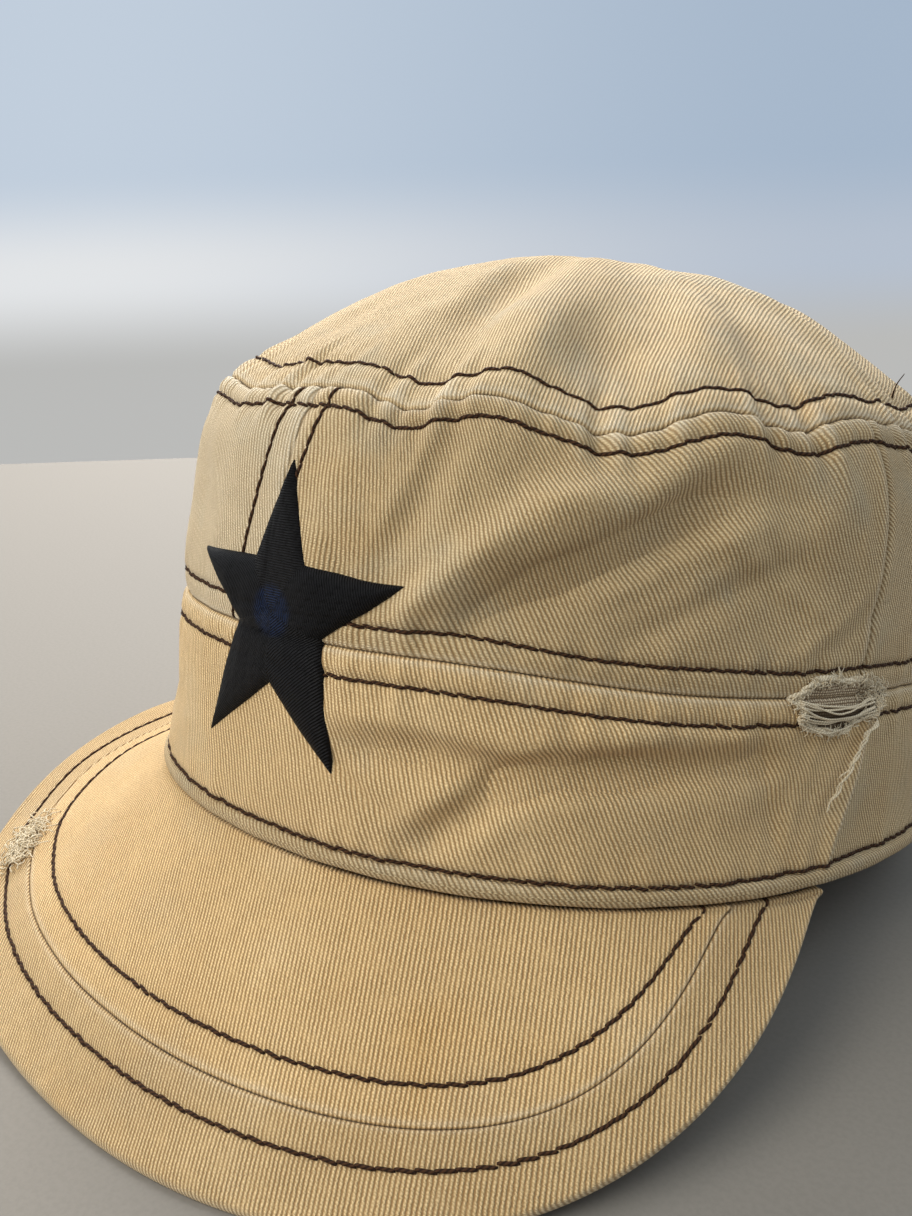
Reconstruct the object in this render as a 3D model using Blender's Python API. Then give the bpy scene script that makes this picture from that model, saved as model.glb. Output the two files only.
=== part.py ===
"""A washed cotton cadet cap, modelled as it lies on a table: its back rim and the edge of its peak touch the surface.

The cap is sewn from panels. Each panel is a thin closed wall, and a narrow gap stands for the seam to the next one.
The sewn frame has -Y to the front, +X to the wearer's left and +Z up, with the back of the rim at height zero.
An angle goes round the crown: 0 is the front, 90 the wearer's left and 180 the back.
A station climbs the crown: 0 is the rim, 1 the middle seam, 2 the top seam and 3 the middle of the top.
"""
import math

import bmesh
import bpy
import numpy as np

# Outline of the crown at its three levels, in metres
RIM_HALF_LENGTH = 0.0964
RIM_HALF_WIDTH = 0.0823
RIM_FRONT_DIP = 0.0038
MIDDLE_HALF_LENGTH = 0.0964
MIDDLE_HALF_WIDTH = 0.0792
LOWER_BAND_HEIGHT = 0.0361
TOP_HALF_LENGTH = 0.0832
TOP_HALF_WIDTH = 0.0724
TOP_SET_FORWARD = 0.0075
UPPER_BAND_HEIGHT = 0.0524
TOP_FRONT_DROP = 0.0066
DOME_HEIGHT = 0.0305
DOME_FULLNESS = 2.4
CORNER_FULLNESS = 2.2

# How the walls of the crown bend between its seams
RIM_FLARE_POWER = 3.0
RIM_DIP_POWER = 2.0
SHOULDER_POWER = 3.8
SHOULDER_FRONT_GAIN = 1.4
BAND_PILLOW = 0.0008
FOLD_DEPTH = 0.0030
SEAM_WAVE = 0.0045
SEAM_HOLD_POWER = 6.0
DENT_HOLD_POWER = 8.0

# Cloth, hem and seams
CLOTH_THICKNESS = 0.0016
SEAM_GAP = 0.0003
HEM_HEIGHT = 0.0036
HEM_THICKNESS = 0.0030
HEM_ROLL = 0.0007
HEM_ROWS = (0.0, 0.3, 0.7, 1.0)

# Places of the upright seams, in degrees from the front
FRONT_SEAM_TOP_ANGLE = 3.0
FRONT_SEAM_MIDDLE_ANGLE = 2.0
SIDE_SEAM_TOP_ANGLE = 86.0
SIDE_SEAM_MIDDLE_ANGLE = 83.0
LOWER_SEAM_MIDDLE_ANGLE = 88.0
LOWER_SEAM_RIM_ANGLE = 80.0

# Peak
PEAK_REACH = 0.0577
PEAK_PANEL_REACH = 0.0396
PEAK_CORNER_REACH = 0.0006
PEAK_EDGE_ANGLE = 80.5
PEAK_PANEL_ANGLE = 65.0
PEAK_EDGE_FULLNESS = 4.6
PEAK_EDGE_TAPER = 1.6
PEAK_PANEL_FULLNESS = 7.6
PEAK_PANEL_TAPER = 1.6
PEAK_SLOPE = 51.0
PEAK_LEFT_EASE = 8.0
PEAK_RIGHT_EASE = 35.0
PEAK_EASE_ANGLE = 63.0
PEAK_EARLY_EASE = 0.6
PEAK_LEAN = 20.0
PEAK_THICKNESS = 0.0030

# How far the cloth is pressed flat where the cap rests
REST_PRESS = 0.0008

# How finely the walls are divided
LOWER_ROWS = 5
UPPER_ROWS = 8
TOP_ROWS = 8
COLUMNS_ROUND = 92
PEAK_COLUMNS = 30
PEAK_PANEL_ROWS = 4
PEAK_BORDER_ROWS = 2

# Dips and humps of the top seam and the middle seam. Columns: angle, lift as a share of SEAM_WAVE, spread in degrees
TOP_WAVES = (
    (-62, -0.45, 7),
    (-38, -0.15, 7),
    (-16, -0.35, 7),
    (7, 0.20, 6),
    (19, -0.45, 5),
    (30, 0.35, 5),
    (45, -1.00, 6),
    (60, 0.35, 5),
    (71, -0.45, 4),
    (83, 0.25, 6),
    (104, -0.35, 7),
    (140, -0.50, 8),
    (168, 0.30, 8),
    (205, -0.40, 8),
    (250, -0.50, 8),
)
MIDDLE_WAVES = (
    (33, 0.42, 19),
    (150, -0.20, 24),
    (252, 0.25, 26),
)

# Folds of the upper and lower band. Columns: angle, height as a share of the band, lean of the fold from level in
# degrees, half length and half breadth as shares of the band's height, depth as a share of FOLD_DEPTH
UPPER_FOLDS = (
    (41, 0.54, 40, 0.52, 0.15, 0.95),
    (40, 0.30, 40, 0.42, 0.16, -0.85),
    (37, 0.78, 60, 0.20, 0.11, -0.50),
    (54, 0.58, 65, 0.32, 0.14, -0.75),
    (69, 0.40, 35, 0.30, 0.14, -0.55),
    (74, 0.62, 95, 0.34, 0.11, 0.50),
    (22, 0.52, 76, 0.38, 0.09, -0.40),
    (11, 0.50, 82, 0.36, 0.09, 0.35),
    (-24, 0.55, -60, 0.35, 0.13, -0.45),
    (-52, 0.48, -42, 0.42, 0.15, -0.70),
    (-60, 0.66, -42, 0.36, 0.13, 0.55),
    (112, 0.50, 62, 0.38, 0.14, -0.50),
    (146, 0.55, 104, 0.32, 0.15, -0.45),
    (196, 0.50, 78, 0.35, 0.16, -0.50),
    (240, 0.50, 118, 0.36, 0.14, -0.50),
)
LOWER_FOLDS = (
    (52, 0.66, 3, 0.60, 0.13, -0.70),
    (35, 0.45, 46, 0.30, 0.11, -0.50),
    (43, 0.80, 0, 0.40, 0.12, 0.30),
    (29, 0.62, -10, 0.30, 0.12, -0.45),
    (69, 0.38, 5, 0.28, 0.16, -0.40),
    (84, 0.50, 72, 0.35, 0.12, 0.30),
    (-34, 0.55, -18, 0.42, 0.14, -0.45),
    (-66, 0.45, 20, 0.38, 0.15, -0.40),
    (120, 0.50, 24, 0.45, 0.16, -0.40),
    (178, 0.55, -12, 0.50, 0.16, -0.35),
    (232, 0.50, 18, 0.45, 0.16, -0.40),
)

# Dents of the top. Columns: angle, distance from the middle as a share of the way to the seam, lean of the dent from
# the line to the middle in degrees, half length and half breadth as shares of TOP_HALF_WIDTH, depth as a share of
# FOLD_DEPTH
TOP_DENTS = (
    (19, 0.66, 6, 0.20, 0.07, -0.60),
    (41, 0.84, -4, 0.20, 0.10, -1.10),
    (30, 0.80, 0, 0.18, 0.07, 0.45),
    (14, 0.88, 4, 0.14, 0.07, -0.45),
    (53, 0.62, 0, 0.16, 0.08, -0.40),
    (69, 0.86, 0, 0.14, 0.06, -0.40),
    (95, 0.72, 14, 0.26, 0.06, 0.40),
    (-30, 0.80, 0, 0.20, 0.09, -0.45),
    (-68, 0.78, 6, 0.20, 0.09, -0.50),
    (132, 0.78, 0, 0.20, 0.10, -0.50),
    (172, 0.76, -8, 0.22, 0.10, -0.40),
    (222, 0.78, 6, 0.22, 0.10, -0.50),
)

# Colour, roughness and metallic value of each finish
KHAKI_TWILL = ((0.50, 0.36, 0.19, 1.0), 0.9, 0.0)
HEM_TWILL = ((0.46, 0.33, 0.17, 1.0), 0.9, 0.0)

# Steps of the finite differences, in radians, stations and metres, and the stations over which a wall turns level
ANGLE_STEP = 0.02
STATION_STEP = 0.03
RIM_LEVEL_SPAN = 0.5
TOP_LEVEL_SPAN = 0.1
REACH_STEP = 0.001
REST_SEARCH_STEPS = 40
STEEPEST_REST = 40.0
SMOOTH_ANGLE = 40.0
MERGE_DISTANCE = 1e-6


def unit(vectors):
    """Gives the vectors with length one."""
    return vectors / np.linalg.norm(vectors, axis=-1, keepdims=True)


def plan(angle, half_length, half_width, forward=0.0):
    """Gives the place, seen from above, where a rounded oval meets a line at an angle."""
    sine, cosine = np.sin(angle), np.cos(angle)
    fit = (np.abs(sine) ** CORNER_FULLNESS + np.abs(cosine) ** CORNER_FULLNESS) ** (-1.0 / CORNER_FULLNESS)
    return half_width * sine * fit, -forward - half_length * cosine * fit


def turned_apart(angle, place):
    """Gives how far each angle lies from a place in degrees, by the shorter way round, in degrees."""
    return (np.degrees(angle) - place + 180.0) % 360.0 - 180.0


def seam_lift(angle, waves):
    """Adds up the dips and humps of a seam, each a bell shape along it."""
    lift = np.zeros_like(angle)
    for place, height, spread in waves:
        lift = lift + SEAM_WAVE * height * np.exp(-((turned_apart(angle, place) / spread) ** 2))
    return lift


def rim_ring(angle):
    """Gives the lower edge of the crown, which dips towards the front."""
    x, y = plan(angle, RIM_HALF_LENGTH, RIM_HALF_WIDTH)
    return np.stack([x, y, -RIM_FRONT_DIP * ((1.0 + np.cos(angle)) / 2.0) ** RIM_DIP_POWER], axis=-1)


def middle_ring(angle):
    """Gives the seam between the two bands of the side."""
    x, y = plan(angle, MIDDLE_HALF_LENGTH, MIDDLE_HALF_WIDTH)
    return np.stack([x, y, LOWER_BAND_HEIGHT + seam_lift(angle, MIDDLE_WAVES)], axis=-1)


def top_ring(angle):
    """Gives the wavy seam between the side and the top, which is lower in front."""
    x, y = plan(angle, TOP_HALF_LENGTH, TOP_HALF_WIDTH, TOP_SET_FORWARD)
    z = LOWER_BAND_HEIGHT + UPPER_BAND_HEIGHT - TOP_FRONT_DROP * np.cos(angle) + seam_lift(angle, TOP_WAVES)
    return np.stack([x, y, z], axis=-1)


def fold_lift(angle, share, height, folds):
    """Adds up the folds of a band: each is a long bell shape, leaning on the wall, that fades out at the seams."""
    lift = np.zeros_like(angle)
    girth = math.radians(1.0) * (MIDDLE_HALF_LENGTH + MIDDLE_HALF_WIDTH) / 2.0
    for place, level, lean, reach, breadth, depth in folds:
        across = turned_apart(angle, place) * girth
        up = (share - level) * height
        cosine, sine = math.cos(math.radians(lean)), math.sin(math.radians(lean))
        along = (across * cosine + up * sine) / (reach * height)
        beside = (up * cosine - across * sine) / (breadth * height)
        lift = lift + FOLD_DEPTH * depth * np.exp(-(along**2) - beside**2)
    return lift * seam_hold(share)


def seam_hold(share):
    """Gives 1 inside a panel and 0 on its seams."""
    return np.clip(1.0 - np.abs(2.0 * share - 1.0) ** SEAM_HOLD_POWER, 0.0, 1.0)


def dent_lift(angle, share):
    """Adds up the dents of the top, each a bell shape that points at the middle of the top."""
    lift = np.zeros_like(angle)
    x, y = share * np.sin(angle), share * np.cos(angle)
    for place, out, lean, reach, breadth, depth in TOP_DENTS:
        turn = math.radians(place)
        east, north = x - out * math.sin(turn), y - out * math.cos(turn)
        turn = turn + math.radians(lean)
        along = (east * math.sin(turn) + north * math.cos(turn)) / reach
        beside = (east * math.cos(turn) - north * math.sin(turn)) / breadth
        lift = lift + FOLD_DEPTH * depth * np.exp(-(along**2) - beside**2)
    return lift * np.clip(1.0 - share**DENT_HOLD_POWER, 0.0, 1.0)


def plain_crown(angle, station):
    """Gives the crown's outer face without folds: two bands and a dome, each carried from seam to seam."""
    rim, middle, top = rim_ring(angle), middle_ring(angle), top_ring(angle)
    lower = np.clip(station, 0.0, 1.0)[..., None]
    upper = np.clip(station - 1.0, 0.0, 1.0)[..., None]
    inward = np.clip(station - 2.0, 0.0, 1.0)[..., None]
    bend = (SHOULDER_POWER + SHOULDER_FRONT_GAIN * np.cos(angle))[..., None]
    level = np.array([1.0, 1.0, 0.0])
    rise = np.array([0.0, 0.0, 1.0])
    point = rim + (middle - rim) * (level * (1.0 - (1.0 - lower) ** RIM_FLARE_POWER) + rise * lower)
    point = point + (top - middle) * (level * upper**bend + rise * upper)
    out = 1.0 - inward
    crest = np.array([0.0, 0.0, LOWER_BAND_HEIGHT + UPPER_BAND_HEIGHT])
    dome = crest + (top - crest) * (level * out + rise * out**2) + rise * DOME_HEIGHT * (1.0 - out**DOME_FULLNESS)
    return np.where(inward > 0.0, dome, point)


def facing(surface, first, second, first_step, second_step):
    """Gives the outward direction of a surface of two values, from its slopes on both sides of a point."""
    one = surface(first + first_step, second) - surface(first - first_step, second)
    two = surface(first, second + second_step) - surface(first, second - second_step)
    return unit(np.cross(one, two))


def crown_slope(surface, angle, station):
    """Gives the outward direction of the crown, with the middle of the top facing straight up."""
    station = np.clip(station, STATION_STEP, 3.0 - 2.0 * STATION_STEP)
    return facing(surface, angle, station, ANGLE_STEP, STATION_STEP)


def crown(angle, station):
    """Gives the crown's outer face with its pillowed bands, folds and dents."""
    lower, upper, out = station, station - 1.0, 3.0 - station
    on_lower = np.clip(lower, 0.0, 1.0)
    on_upper = np.clip(upper, 0.0, 1.0)
    on_top = np.clip(out, 0.0, 1.0)
    lift = fold_lift(angle, on_lower, LOWER_BAND_HEIGHT, LOWER_FOLDS)
    lift = lift + fold_lift(angle, on_upper, UPPER_BAND_HEIGHT, UPPER_FOLDS)
    lift = lift + np.where(station > 2.0, dent_lift(angle, on_top), 0.0)
    lift = lift + BAND_PILLOW * (seam_hold(on_lower) + seam_hold(on_upper))
    return plain_crown(angle, station) + lift[..., None] * crown_slope(plain_crown, angle, station)


def wall_direction(angle, station):
    """Gives the direction through the cloth: square to the crown, but level at the rim, so that the hem lies flat."""
    direction = crown_slope(crown, angle, station)
    direction[..., 2] *= np.clip(station / RIM_LEVEL_SPAN, 0.0, 1.0)
    middle_of_top = np.clip(1.0 - (3.0 - station) / TOP_LEVEL_SPAN, 0.0, 1.0)[..., None]
    return unit(direction * (1.0 - middle_of_top) + np.array([0.0, 0.0, 1.0]) * middle_of_top)


def station_shift(angle, station, distance):
    """Gives the change of station that climbs the crown by a distance, at each angle."""
    step = STATION_STEP / 3.0
    climb = np.linalg.norm(crown(angle, station + step) - crown(angle, station - step), axis=-1) / (2.0 * step)
    return distance / climb


def crown_wall(start, end, low, high, columns, rows, closed=False):
    """Gives the outer and inner points of a panel between two slanted sides and two stations.

    start and end give the angle of each side at the low and the high station, in degrees. low and high are pairs of
    a station and the distance that the panel keeps from it.
    """
    across = np.linspace(0.0, 1.0, columns + 1)[:-1] if closed else np.linspace(0.0, 1.0, columns + 1)
    up = np.linspace(0.0, 1.0, rows + 1)
    across, up = np.meshgrid(across, up, indexing="ij")
    side_gap = 0.0 if closed else SEAM_GAP / 2.0 / TOP_HALF_WIDTH
    first = np.radians(start[0] + (start[1] - start[0]) * up) + side_gap
    last = np.radians(end[0] + (end[1] - end[0]) * up) - side_gap
    angle = first + (last - first) * across
    bottom = low[0] + station_shift(angle, np.full_like(angle, low[0] + STATION_STEP), low[1])
    if high[0] < 3.0:
        top = high[0] - station_shift(angle, np.full_like(angle, high[0]), high[1])
    else:
        top = np.full_like(angle, 3.0)
    station = bottom + (top - bottom) * up
    outer = crown(angle, station)
    return outer, outer - CLOTH_THICKNESS * wall_direction(angle, station)


def hem_sections():
    """Gives the rolled hem's outer and inner points, round the whole rim."""
    angle = np.linspace(0.0, 2.0 * math.pi, COLUMNS_ROUND + 1)[:-1]
    angle, up = np.meshgrid(angle, np.array(HEM_ROWS), indexing="ij")
    height = station_shift(angle, np.full_like(angle, STATION_STEP), HEM_HEIGHT)
    station = height * up
    direction = wall_direction(angle, np.zeros_like(station))
    foot = crown(angle, station)
    roll = HEM_ROLL * np.sin(math.pi * up)
    return foot + direction * roll[..., None], foot - direction * HEM_THICKNESS


def peak_slope(angle):
    """Gives how steeply the peak leaves the rim: less so towards its corners, and unevenly, as it has been bent."""
    share = angle / math.radians(PEAK_EASE_ANGLE)
    ease = np.where(angle > 0.0, PEAK_LEFT_EASE, PEAK_RIGHT_EASE)
    return np.radians(PEAK_SLOPE - ease * (PEAK_EARLY_EASE * share**2 + (1.0 - PEAK_EARLY_EASE) * share**4))


def peak_reach(angle, reach, end_angle, fullness, taper):
    """Gives how far a line of the peak lies from the rim: widest in front, down to the corner's width at its end."""
    share = np.abs(angle) / math.radians(end_angle)
    fade = np.clip(1.0 - share**fullness, 0.0, 1.0) ** taper
    return PEAK_CORNER_REACH + (reach - PEAK_CORNER_REACH) * fade


def peak(angle, reach):
    """Gives the peak's upper face: straight lines that leave the rim, leaning to the front, and a tongue at the hem."""
    root = rim_ring(angle)
    along = unit(rim_ring(angle + ANGLE_STEP) - rim_ring(angle - ANGLE_STEP))
    up = np.array([0.0, 0.0, 1.0])
    out = unit(np.cross(along, up))
    slope = peak_slope(angle)[..., None]
    lean = math.radians(PEAK_LEAN) * np.sin(angle)[..., None]
    down = (out * np.cos(slope) - up * np.sin(slope)) * np.cos(lean) - along * np.sin(lean)
    length = np.maximum(reach, 0.0)[..., None]
    tongue = np.minimum(reach, 0.0)[..., None]
    return root - up * SEAM_GAP + down * length + out * tongue


def peak_facing(angle, reach):
    """Gives the outward direction of the peak's upper face."""
    return -facing(peak, angle, reach, ANGLE_STEP, REACH_STEP)


def peak_line(share, reach, end_angle, fullness, taper, aside):
    """Gives the angles and reaches of a line on the peak, moved sideways on the face by a distance.

    share runs from -1 at the wearer's right end to 1 at the left end, and the points crowd towards the ends.
    """
    angle = np.sin(share * math.pi / 2.0) * math.radians(end_angle)
    length = peak_reach(angle, reach, end_angle, fullness, taper)
    wide = peak(angle + ANGLE_STEP, length) - peak(angle - ANGLE_STEP, length)
    girth = np.linalg.norm(wide, axis=-1) / (2.0 * ANGLE_STEP)
    slant = np.gradient(length) / (np.gradient(angle) * girth)
    size = np.sqrt(1.0 + slant**2)
    return angle - aside * slant / size / girth, length + aside / size


def peak_wall(low, high, rows, rounded):
    """Gives the upper and lower points of a part of the peak between two lines of angles and reaches."""
    up = np.linspace(0.0, 1.0, rows + 1)[None, :]
    angle = low[0][:, None] + (high[0] - low[0])[:, None] * up
    reach = low[1][:, None] + (high[1] - low[1])[:, None] * up
    if not rounded:
        tongue = np.full_like(low[0], -(HEM_THICKNESS - SEAM_GAP))
        angle = np.concatenate([low[0][:, None], angle], axis=1)
        reach = np.concatenate([tongue[:, None], reach], axis=1)
    facing_up = peak_facing(angle, reach)
    upper = peak(angle, reach)
    lower = upper - facing_up * PEAK_THICKNESS
    if rounded:
        edge = upper[:, -1] - facing_up[:, -1] * PEAK_THICKNESS / 2.0
        nose_in = unit(upper[:, -2] - upper[:, -1]) * PEAK_THICKNESS / 3.0
        upper[:, -1] += nose_in
        lower[:, -1] += nose_in
        upper = np.concatenate([upper, edge[:, None]], axis=1)
        lower = np.concatenate([lower, edge[:, None]], axis=1)
    return upper, lower


def peak_panel_wall():
    """Gives the peak's inner panel, from its tongue under the hem to the seam with the border."""
    share = np.linspace(-1.0, 1.0, PEAK_COLUMNS + 1)
    seam = peak_line(share, PEAK_PANEL_REACH, PEAK_PANEL_ANGLE, PEAK_PANEL_FULLNESS, PEAK_PANEL_TAPER, -SEAM_GAP / 2.0)
    root = (seam[0], np.zeros_like(share))
    return peak_wall(root, seam, PEAK_PANEL_ROWS, False)


def peak_border_wall():
    """Gives the peak's border, from the seam to the free edge, with both of its ends tucked under the hem."""
    share = np.linspace(-1.0, 1.0, PEAK_COLUMNS + 1)
    seam = peak_line(share, PEAK_PANEL_REACH, PEAK_PANEL_ANGLE, PEAK_PANEL_FULLNESS, PEAK_PANEL_TAPER, SEAM_GAP / 2.0)
    edge = peak_line(share, PEAK_REACH, PEAK_EDGE_ANGLE, PEAK_EDGE_FULLNESS, PEAK_EDGE_TAPER, 0.0)
    return peak_wall(seam, edge, PEAK_BORDER_ROWS, True)


def cap_walls():
    """Gives the outer and inner points of every piece, in the sewn frame, with whether it closes round the cap."""
    front = (FRONT_SEAM_MIDDLE_ANGLE, FRONT_SEAM_TOP_ANGLE)
    left = (SIDE_SEAM_MIDDLE_ANGLE, SIDE_SEAM_TOP_ANGLE)
    right = (-SIDE_SEAM_MIDDLE_ANGLE, -SIDE_SEAM_TOP_ANGLE)
    right_again = (360.0 - SIDE_SEAM_MIDDLE_ANGLE, 360.0 - SIDE_SEAM_TOP_ANGLE)
    lower_left = (LOWER_SEAM_RIM_ANGLE, LOWER_SEAM_MIDDLE_ANGLE)
    lower_right = (-LOWER_SEAM_RIM_ANGLE, -LOWER_SEAM_MIDDLE_ANGLE)
    lower_right_again = (360.0 - LOWER_SEAM_RIM_ANGLE, 360.0 - LOWER_SEAM_MIDDLE_ANGLE)
    half = SEAM_GAP / 2.0
    quarter, third, most = COLUMNS_ROUND // 4, COLUMNS_ROUND // 2, COLUMNS_ROUND - COLUMNS_ROUND // 2
    middle, top = (1.0, half), (2.0, half)
    above_hem = (0.0, HEM_HEIGHT + SEAM_GAP)
    return {
        "crown_top": (*crown_wall((0, 0), (360, 360), top, (3.0, 0.0), COLUMNS_ROUND, TOP_ROWS, True), True),
        "upper_side_left": (*crown_wall(front, left, middle, top, quarter, UPPER_ROWS), False),
        "upper_side_right": (*crown_wall(right, front, middle, top, quarter, UPPER_ROWS), False),
        "upper_side_back": (*crown_wall(left, right_again, middle, top, most, UPPER_ROWS), False),
        "lower_band_front": (*crown_wall(lower_right, lower_left, above_hem, middle, third, LOWER_ROWS), False),
        "lower_band_back": (*crown_wall(lower_left, lower_right_again, above_hem, middle, most, LOWER_ROWS), False),
        "hem_band": (*hem_sections(), True),
        "peak_panel": (*peak_panel_wall(), False),
        "peak_border": (*peak_border_wall(), False),
    }


def tipped(points, tilt):
    """Turns points about the back of the rim, so that the front of the cap rises."""
    y, z = points[..., 1] - RIM_HALF_LENGTH, points[..., 2]
    turned_y = y * math.cos(tilt) + z * math.sin(tilt) + RIM_HALF_LENGTH
    turned_z = z * math.cos(tilt) - y * math.sin(tilt)
    return np.stack([points[..., 0], turned_y, turned_z], axis=-1)


def rest_tilt(walls):
    """Gives the tilt at which the back of the rim and the edge of the peak stand equally high."""
    hem = np.concatenate([walls["hem_band"][k].reshape(-1, 3) for k in (0, 1)])
    edge = np.concatenate([walls["peak_border"][k].reshape(-1, 3) for k in (0, 1)])
    back = hem[hem[:, 1] > 0.0]
    low, high = 0.0, math.radians(STEEPEST_REST)
    for _ in range(REST_SEARCH_STEPS):
        tilt = (low + high) / 2.0
        if tipped(edge, tilt)[:, 2].min() < tipped(back, tilt)[:, 2].min():
            low = tilt
        else:
            high = tilt
    return (low + high) / 2.0


def settled(walls):
    """Gives the walls as they lie: tipped, pressed flat on the surface, with the middle of the box at x = y = 0."""
    tilt = rest_tilt(walls)
    laid = {name: [tipped(wall[0], tilt), tipped(wall[1], tilt), wall[2]] for name, wall in walls.items()}
    everything = np.concatenate([part.reshape(-1, 3) for wall in laid.values() for part in wall[:2]])
    low, high = everything.min(axis=0), everything.max(axis=0)
    shift = np.array([(low[0] + high[0]) / 2.0, (low[1] + high[1]) / 2.0, low[2] + REST_PRESS])
    for wall in laid.values():
        for side in (0, 1):
            wall[side] = wall[side] - shift
            wall[side][..., 2] = np.maximum(wall[side][..., 2], 0.0)
    return laid


def wall_mesh(name, outer, inner, closed):
    """Joins the outer and inner points of a piece into one closed mesh."""
    columns, rows = outer.shape[:2]
    points = np.concatenate([outer.reshape(-1, 3), inner.reshape(-1, 3)])
    number = np.arange(len(points)).reshape(2, columns, rows)
    if closed:
        number = np.concatenate([number, number[:, :1]], axis=1)
    skin, lining = number
    strips = [
        (skin[:-1, :-1], skin[1:, :-1], skin[1:, 1:], skin[:-1, 1:]),
        (lining[:-1, :-1], lining[:-1, 1:], lining[1:, 1:], lining[1:, :-1]),
        (skin[:-1, 0], lining[:-1, 0], lining[1:, 0], skin[1:, 0]),
        (skin[:-1, -1], skin[1:, -1], lining[1:, -1], lining[:-1, -1]),
    ]
    if not closed:
        strips.append((skin[0, :-1], skin[0, 1:], lining[0, 1:], lining[0, :-1]))
        strips.append((skin[-1, :-1], lining[-1, :-1], lining[-1, 1:], skin[-1, 1:]))
    faces = np.concatenate([np.stack(strip, axis=-1).reshape(-1, 4) for strip in strips])
    mesh = bpy.data.meshes.new(name)
    mesh.from_pydata(points.tolist(), [], faces.tolist())
    tidy = bmesh.new()
    tidy.from_mesh(mesh)
    bmesh.ops.remove_doubles(tidy, verts=tidy.verts, dist=MERGE_DISTANCE)
    bmesh.ops.recalc_face_normals(tidy, faces=tidy.faces)
    tidy.to_mesh(mesh)
    tidy.free()
    mesh.shade_smooth()
    mesh.set_sharp_from_angle(angle=math.radians(SMOOTH_ANGLE))
    return mesh


def finish(name, colour, roughness, metallic):
    """Makes a plain material."""
    material = bpy.data.materials.new(name)
    material.use_nodes = True
    shader = material.node_tree.nodes["Principled BSDF"]
    shader.inputs["Base Color"].default_value = colour
    shader.inputs["Roughness"].default_value = roughness
    shader.inputs["Metallic"].default_value = metallic
    return material


def main():
    """Clears the scene and builds the cap, one object for each sewn piece."""
    for thing in list(bpy.data.objects):
        bpy.data.objects.remove(thing)
    for name, (outer, inner, closed) in settled(cap_walls()).items():
        mesh = wall_mesh(name, outer, inner, closed)
        look = HEM_TWILL if name == "hem_band" else KHAKI_TWILL
        mesh.materials.append(finish(name + "_cloth", *look))
        bpy.context.scene.collection.objects.link(bpy.data.objects.new(name, mesh))


main()
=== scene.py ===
"""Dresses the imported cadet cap: creased twill panels, rolled hem, peak, topstitches, star, frays and a table.

Every shape is worked out in the sewn frame of the cap and then laid on the table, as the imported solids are.
In the sewn frame -Y is the front, +X the wearer's left and +Z up, with the back of the rim at height zero. An
angle goes round the crown: 0 is the front, 90 the wearer's left and 180 the back. A station climbs it: 0 is
the rim, 1 the middle seam, 2 the top seam and 3 the middle of the top. Sizes are in metres.
"""
import math

import bmesh
import bpy
import numpy as np
from mathutils import Matrix


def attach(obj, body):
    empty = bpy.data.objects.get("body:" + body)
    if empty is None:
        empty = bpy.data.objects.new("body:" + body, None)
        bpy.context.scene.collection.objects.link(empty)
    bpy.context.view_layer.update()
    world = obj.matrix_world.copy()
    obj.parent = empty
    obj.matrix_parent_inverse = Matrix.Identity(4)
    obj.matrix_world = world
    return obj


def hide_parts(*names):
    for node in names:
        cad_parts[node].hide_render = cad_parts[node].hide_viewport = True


bl_info = {
    "name": "Cadet cap",
    "version": (1, 0, 0),
    "blender": (4, 5, 0),
    "location": "3D View > Sidebar > Cap",
    "description": "Dresses the packed solids of a washed cadet cap in cloth, stitches and frays",
    "category": "Object",
}

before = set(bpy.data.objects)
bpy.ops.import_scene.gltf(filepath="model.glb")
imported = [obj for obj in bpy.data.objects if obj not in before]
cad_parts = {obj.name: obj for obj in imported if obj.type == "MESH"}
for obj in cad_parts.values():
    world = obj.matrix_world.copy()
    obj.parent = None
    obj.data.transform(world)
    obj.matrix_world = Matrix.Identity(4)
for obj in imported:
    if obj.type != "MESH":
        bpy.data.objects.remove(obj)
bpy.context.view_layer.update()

TURN = 2.0 * math.pi
UP = np.array([0.0, 0.0, 1.0])

# Outline of the crown at its three levels
RIM_HALF_LENGTH = 0.0964
RIM_HALF_WIDTH = 0.0823
RIM_FRONT_DIP = 0.0038
RIM_DIP_POWER = 2.0
MIDDLE_HALF_LENGTH = 0.0964
MIDDLE_HALF_WIDTH = 0.0792
LOWER_BAND_HEIGHT = 0.0361
TOP_HALF_LENGTH = 0.0832
TOP_HALF_WIDTH = 0.0724
TOP_SET_FORWARD = 0.0075
UPPER_BAND_HEIGHT = 0.0524
TOP_FRONT_DROP = 0.0066
TOP_RUN = 0.0860
DOME_HEIGHT = 0.0305
DOME_FULLNESS = 2.4
CORNER_FULLNESS = 2.2
RIM_FLARE_POWER = 3.0
SHOULDER_POWER = 3.8
SHOULDER_FRONT_GAIN = 1.4
BAND_PILLOW = 0.0008
FOLD_DEPTH = 0.0030
SEAM_WAVE = 0.0045
SEAM_HOLD_POWER = 6.0
DENT_HOLD_POWER = 8.0

# Cloth, hem and seams
CLOTH_THICKNESS = 0.0016
PANEL_GAP = 0.00004
HEM_HEIGHT = 0.0036
HEM_THICKNESS = 0.0030
HEM_ROLL = 0.0007
TOP_STITCH_BELOW = 0.0044
TOP_STITCH_ABOVE = 0.0050
MIDDLE_STITCH_ABOVE = 0.0054
MIDDLE_STITCH_BELOW = 0.0046
HEM_STITCH = 0.0039

# Width of the hem's cut before it is folded, in the pattern
HEM_PATTERN = 0.0115

# Places of the upright seams, in degrees from the front: at the seam above and at the seam below
FRONT_SEAM = (3.0, 2.0)
FRONT_ROWS = ((-0.7, -6.6), (6.8, 1.2))
SIDE_SEAM = (86.0, 83.0)
LOWER_SEAM = (88.0, 80.0)

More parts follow.
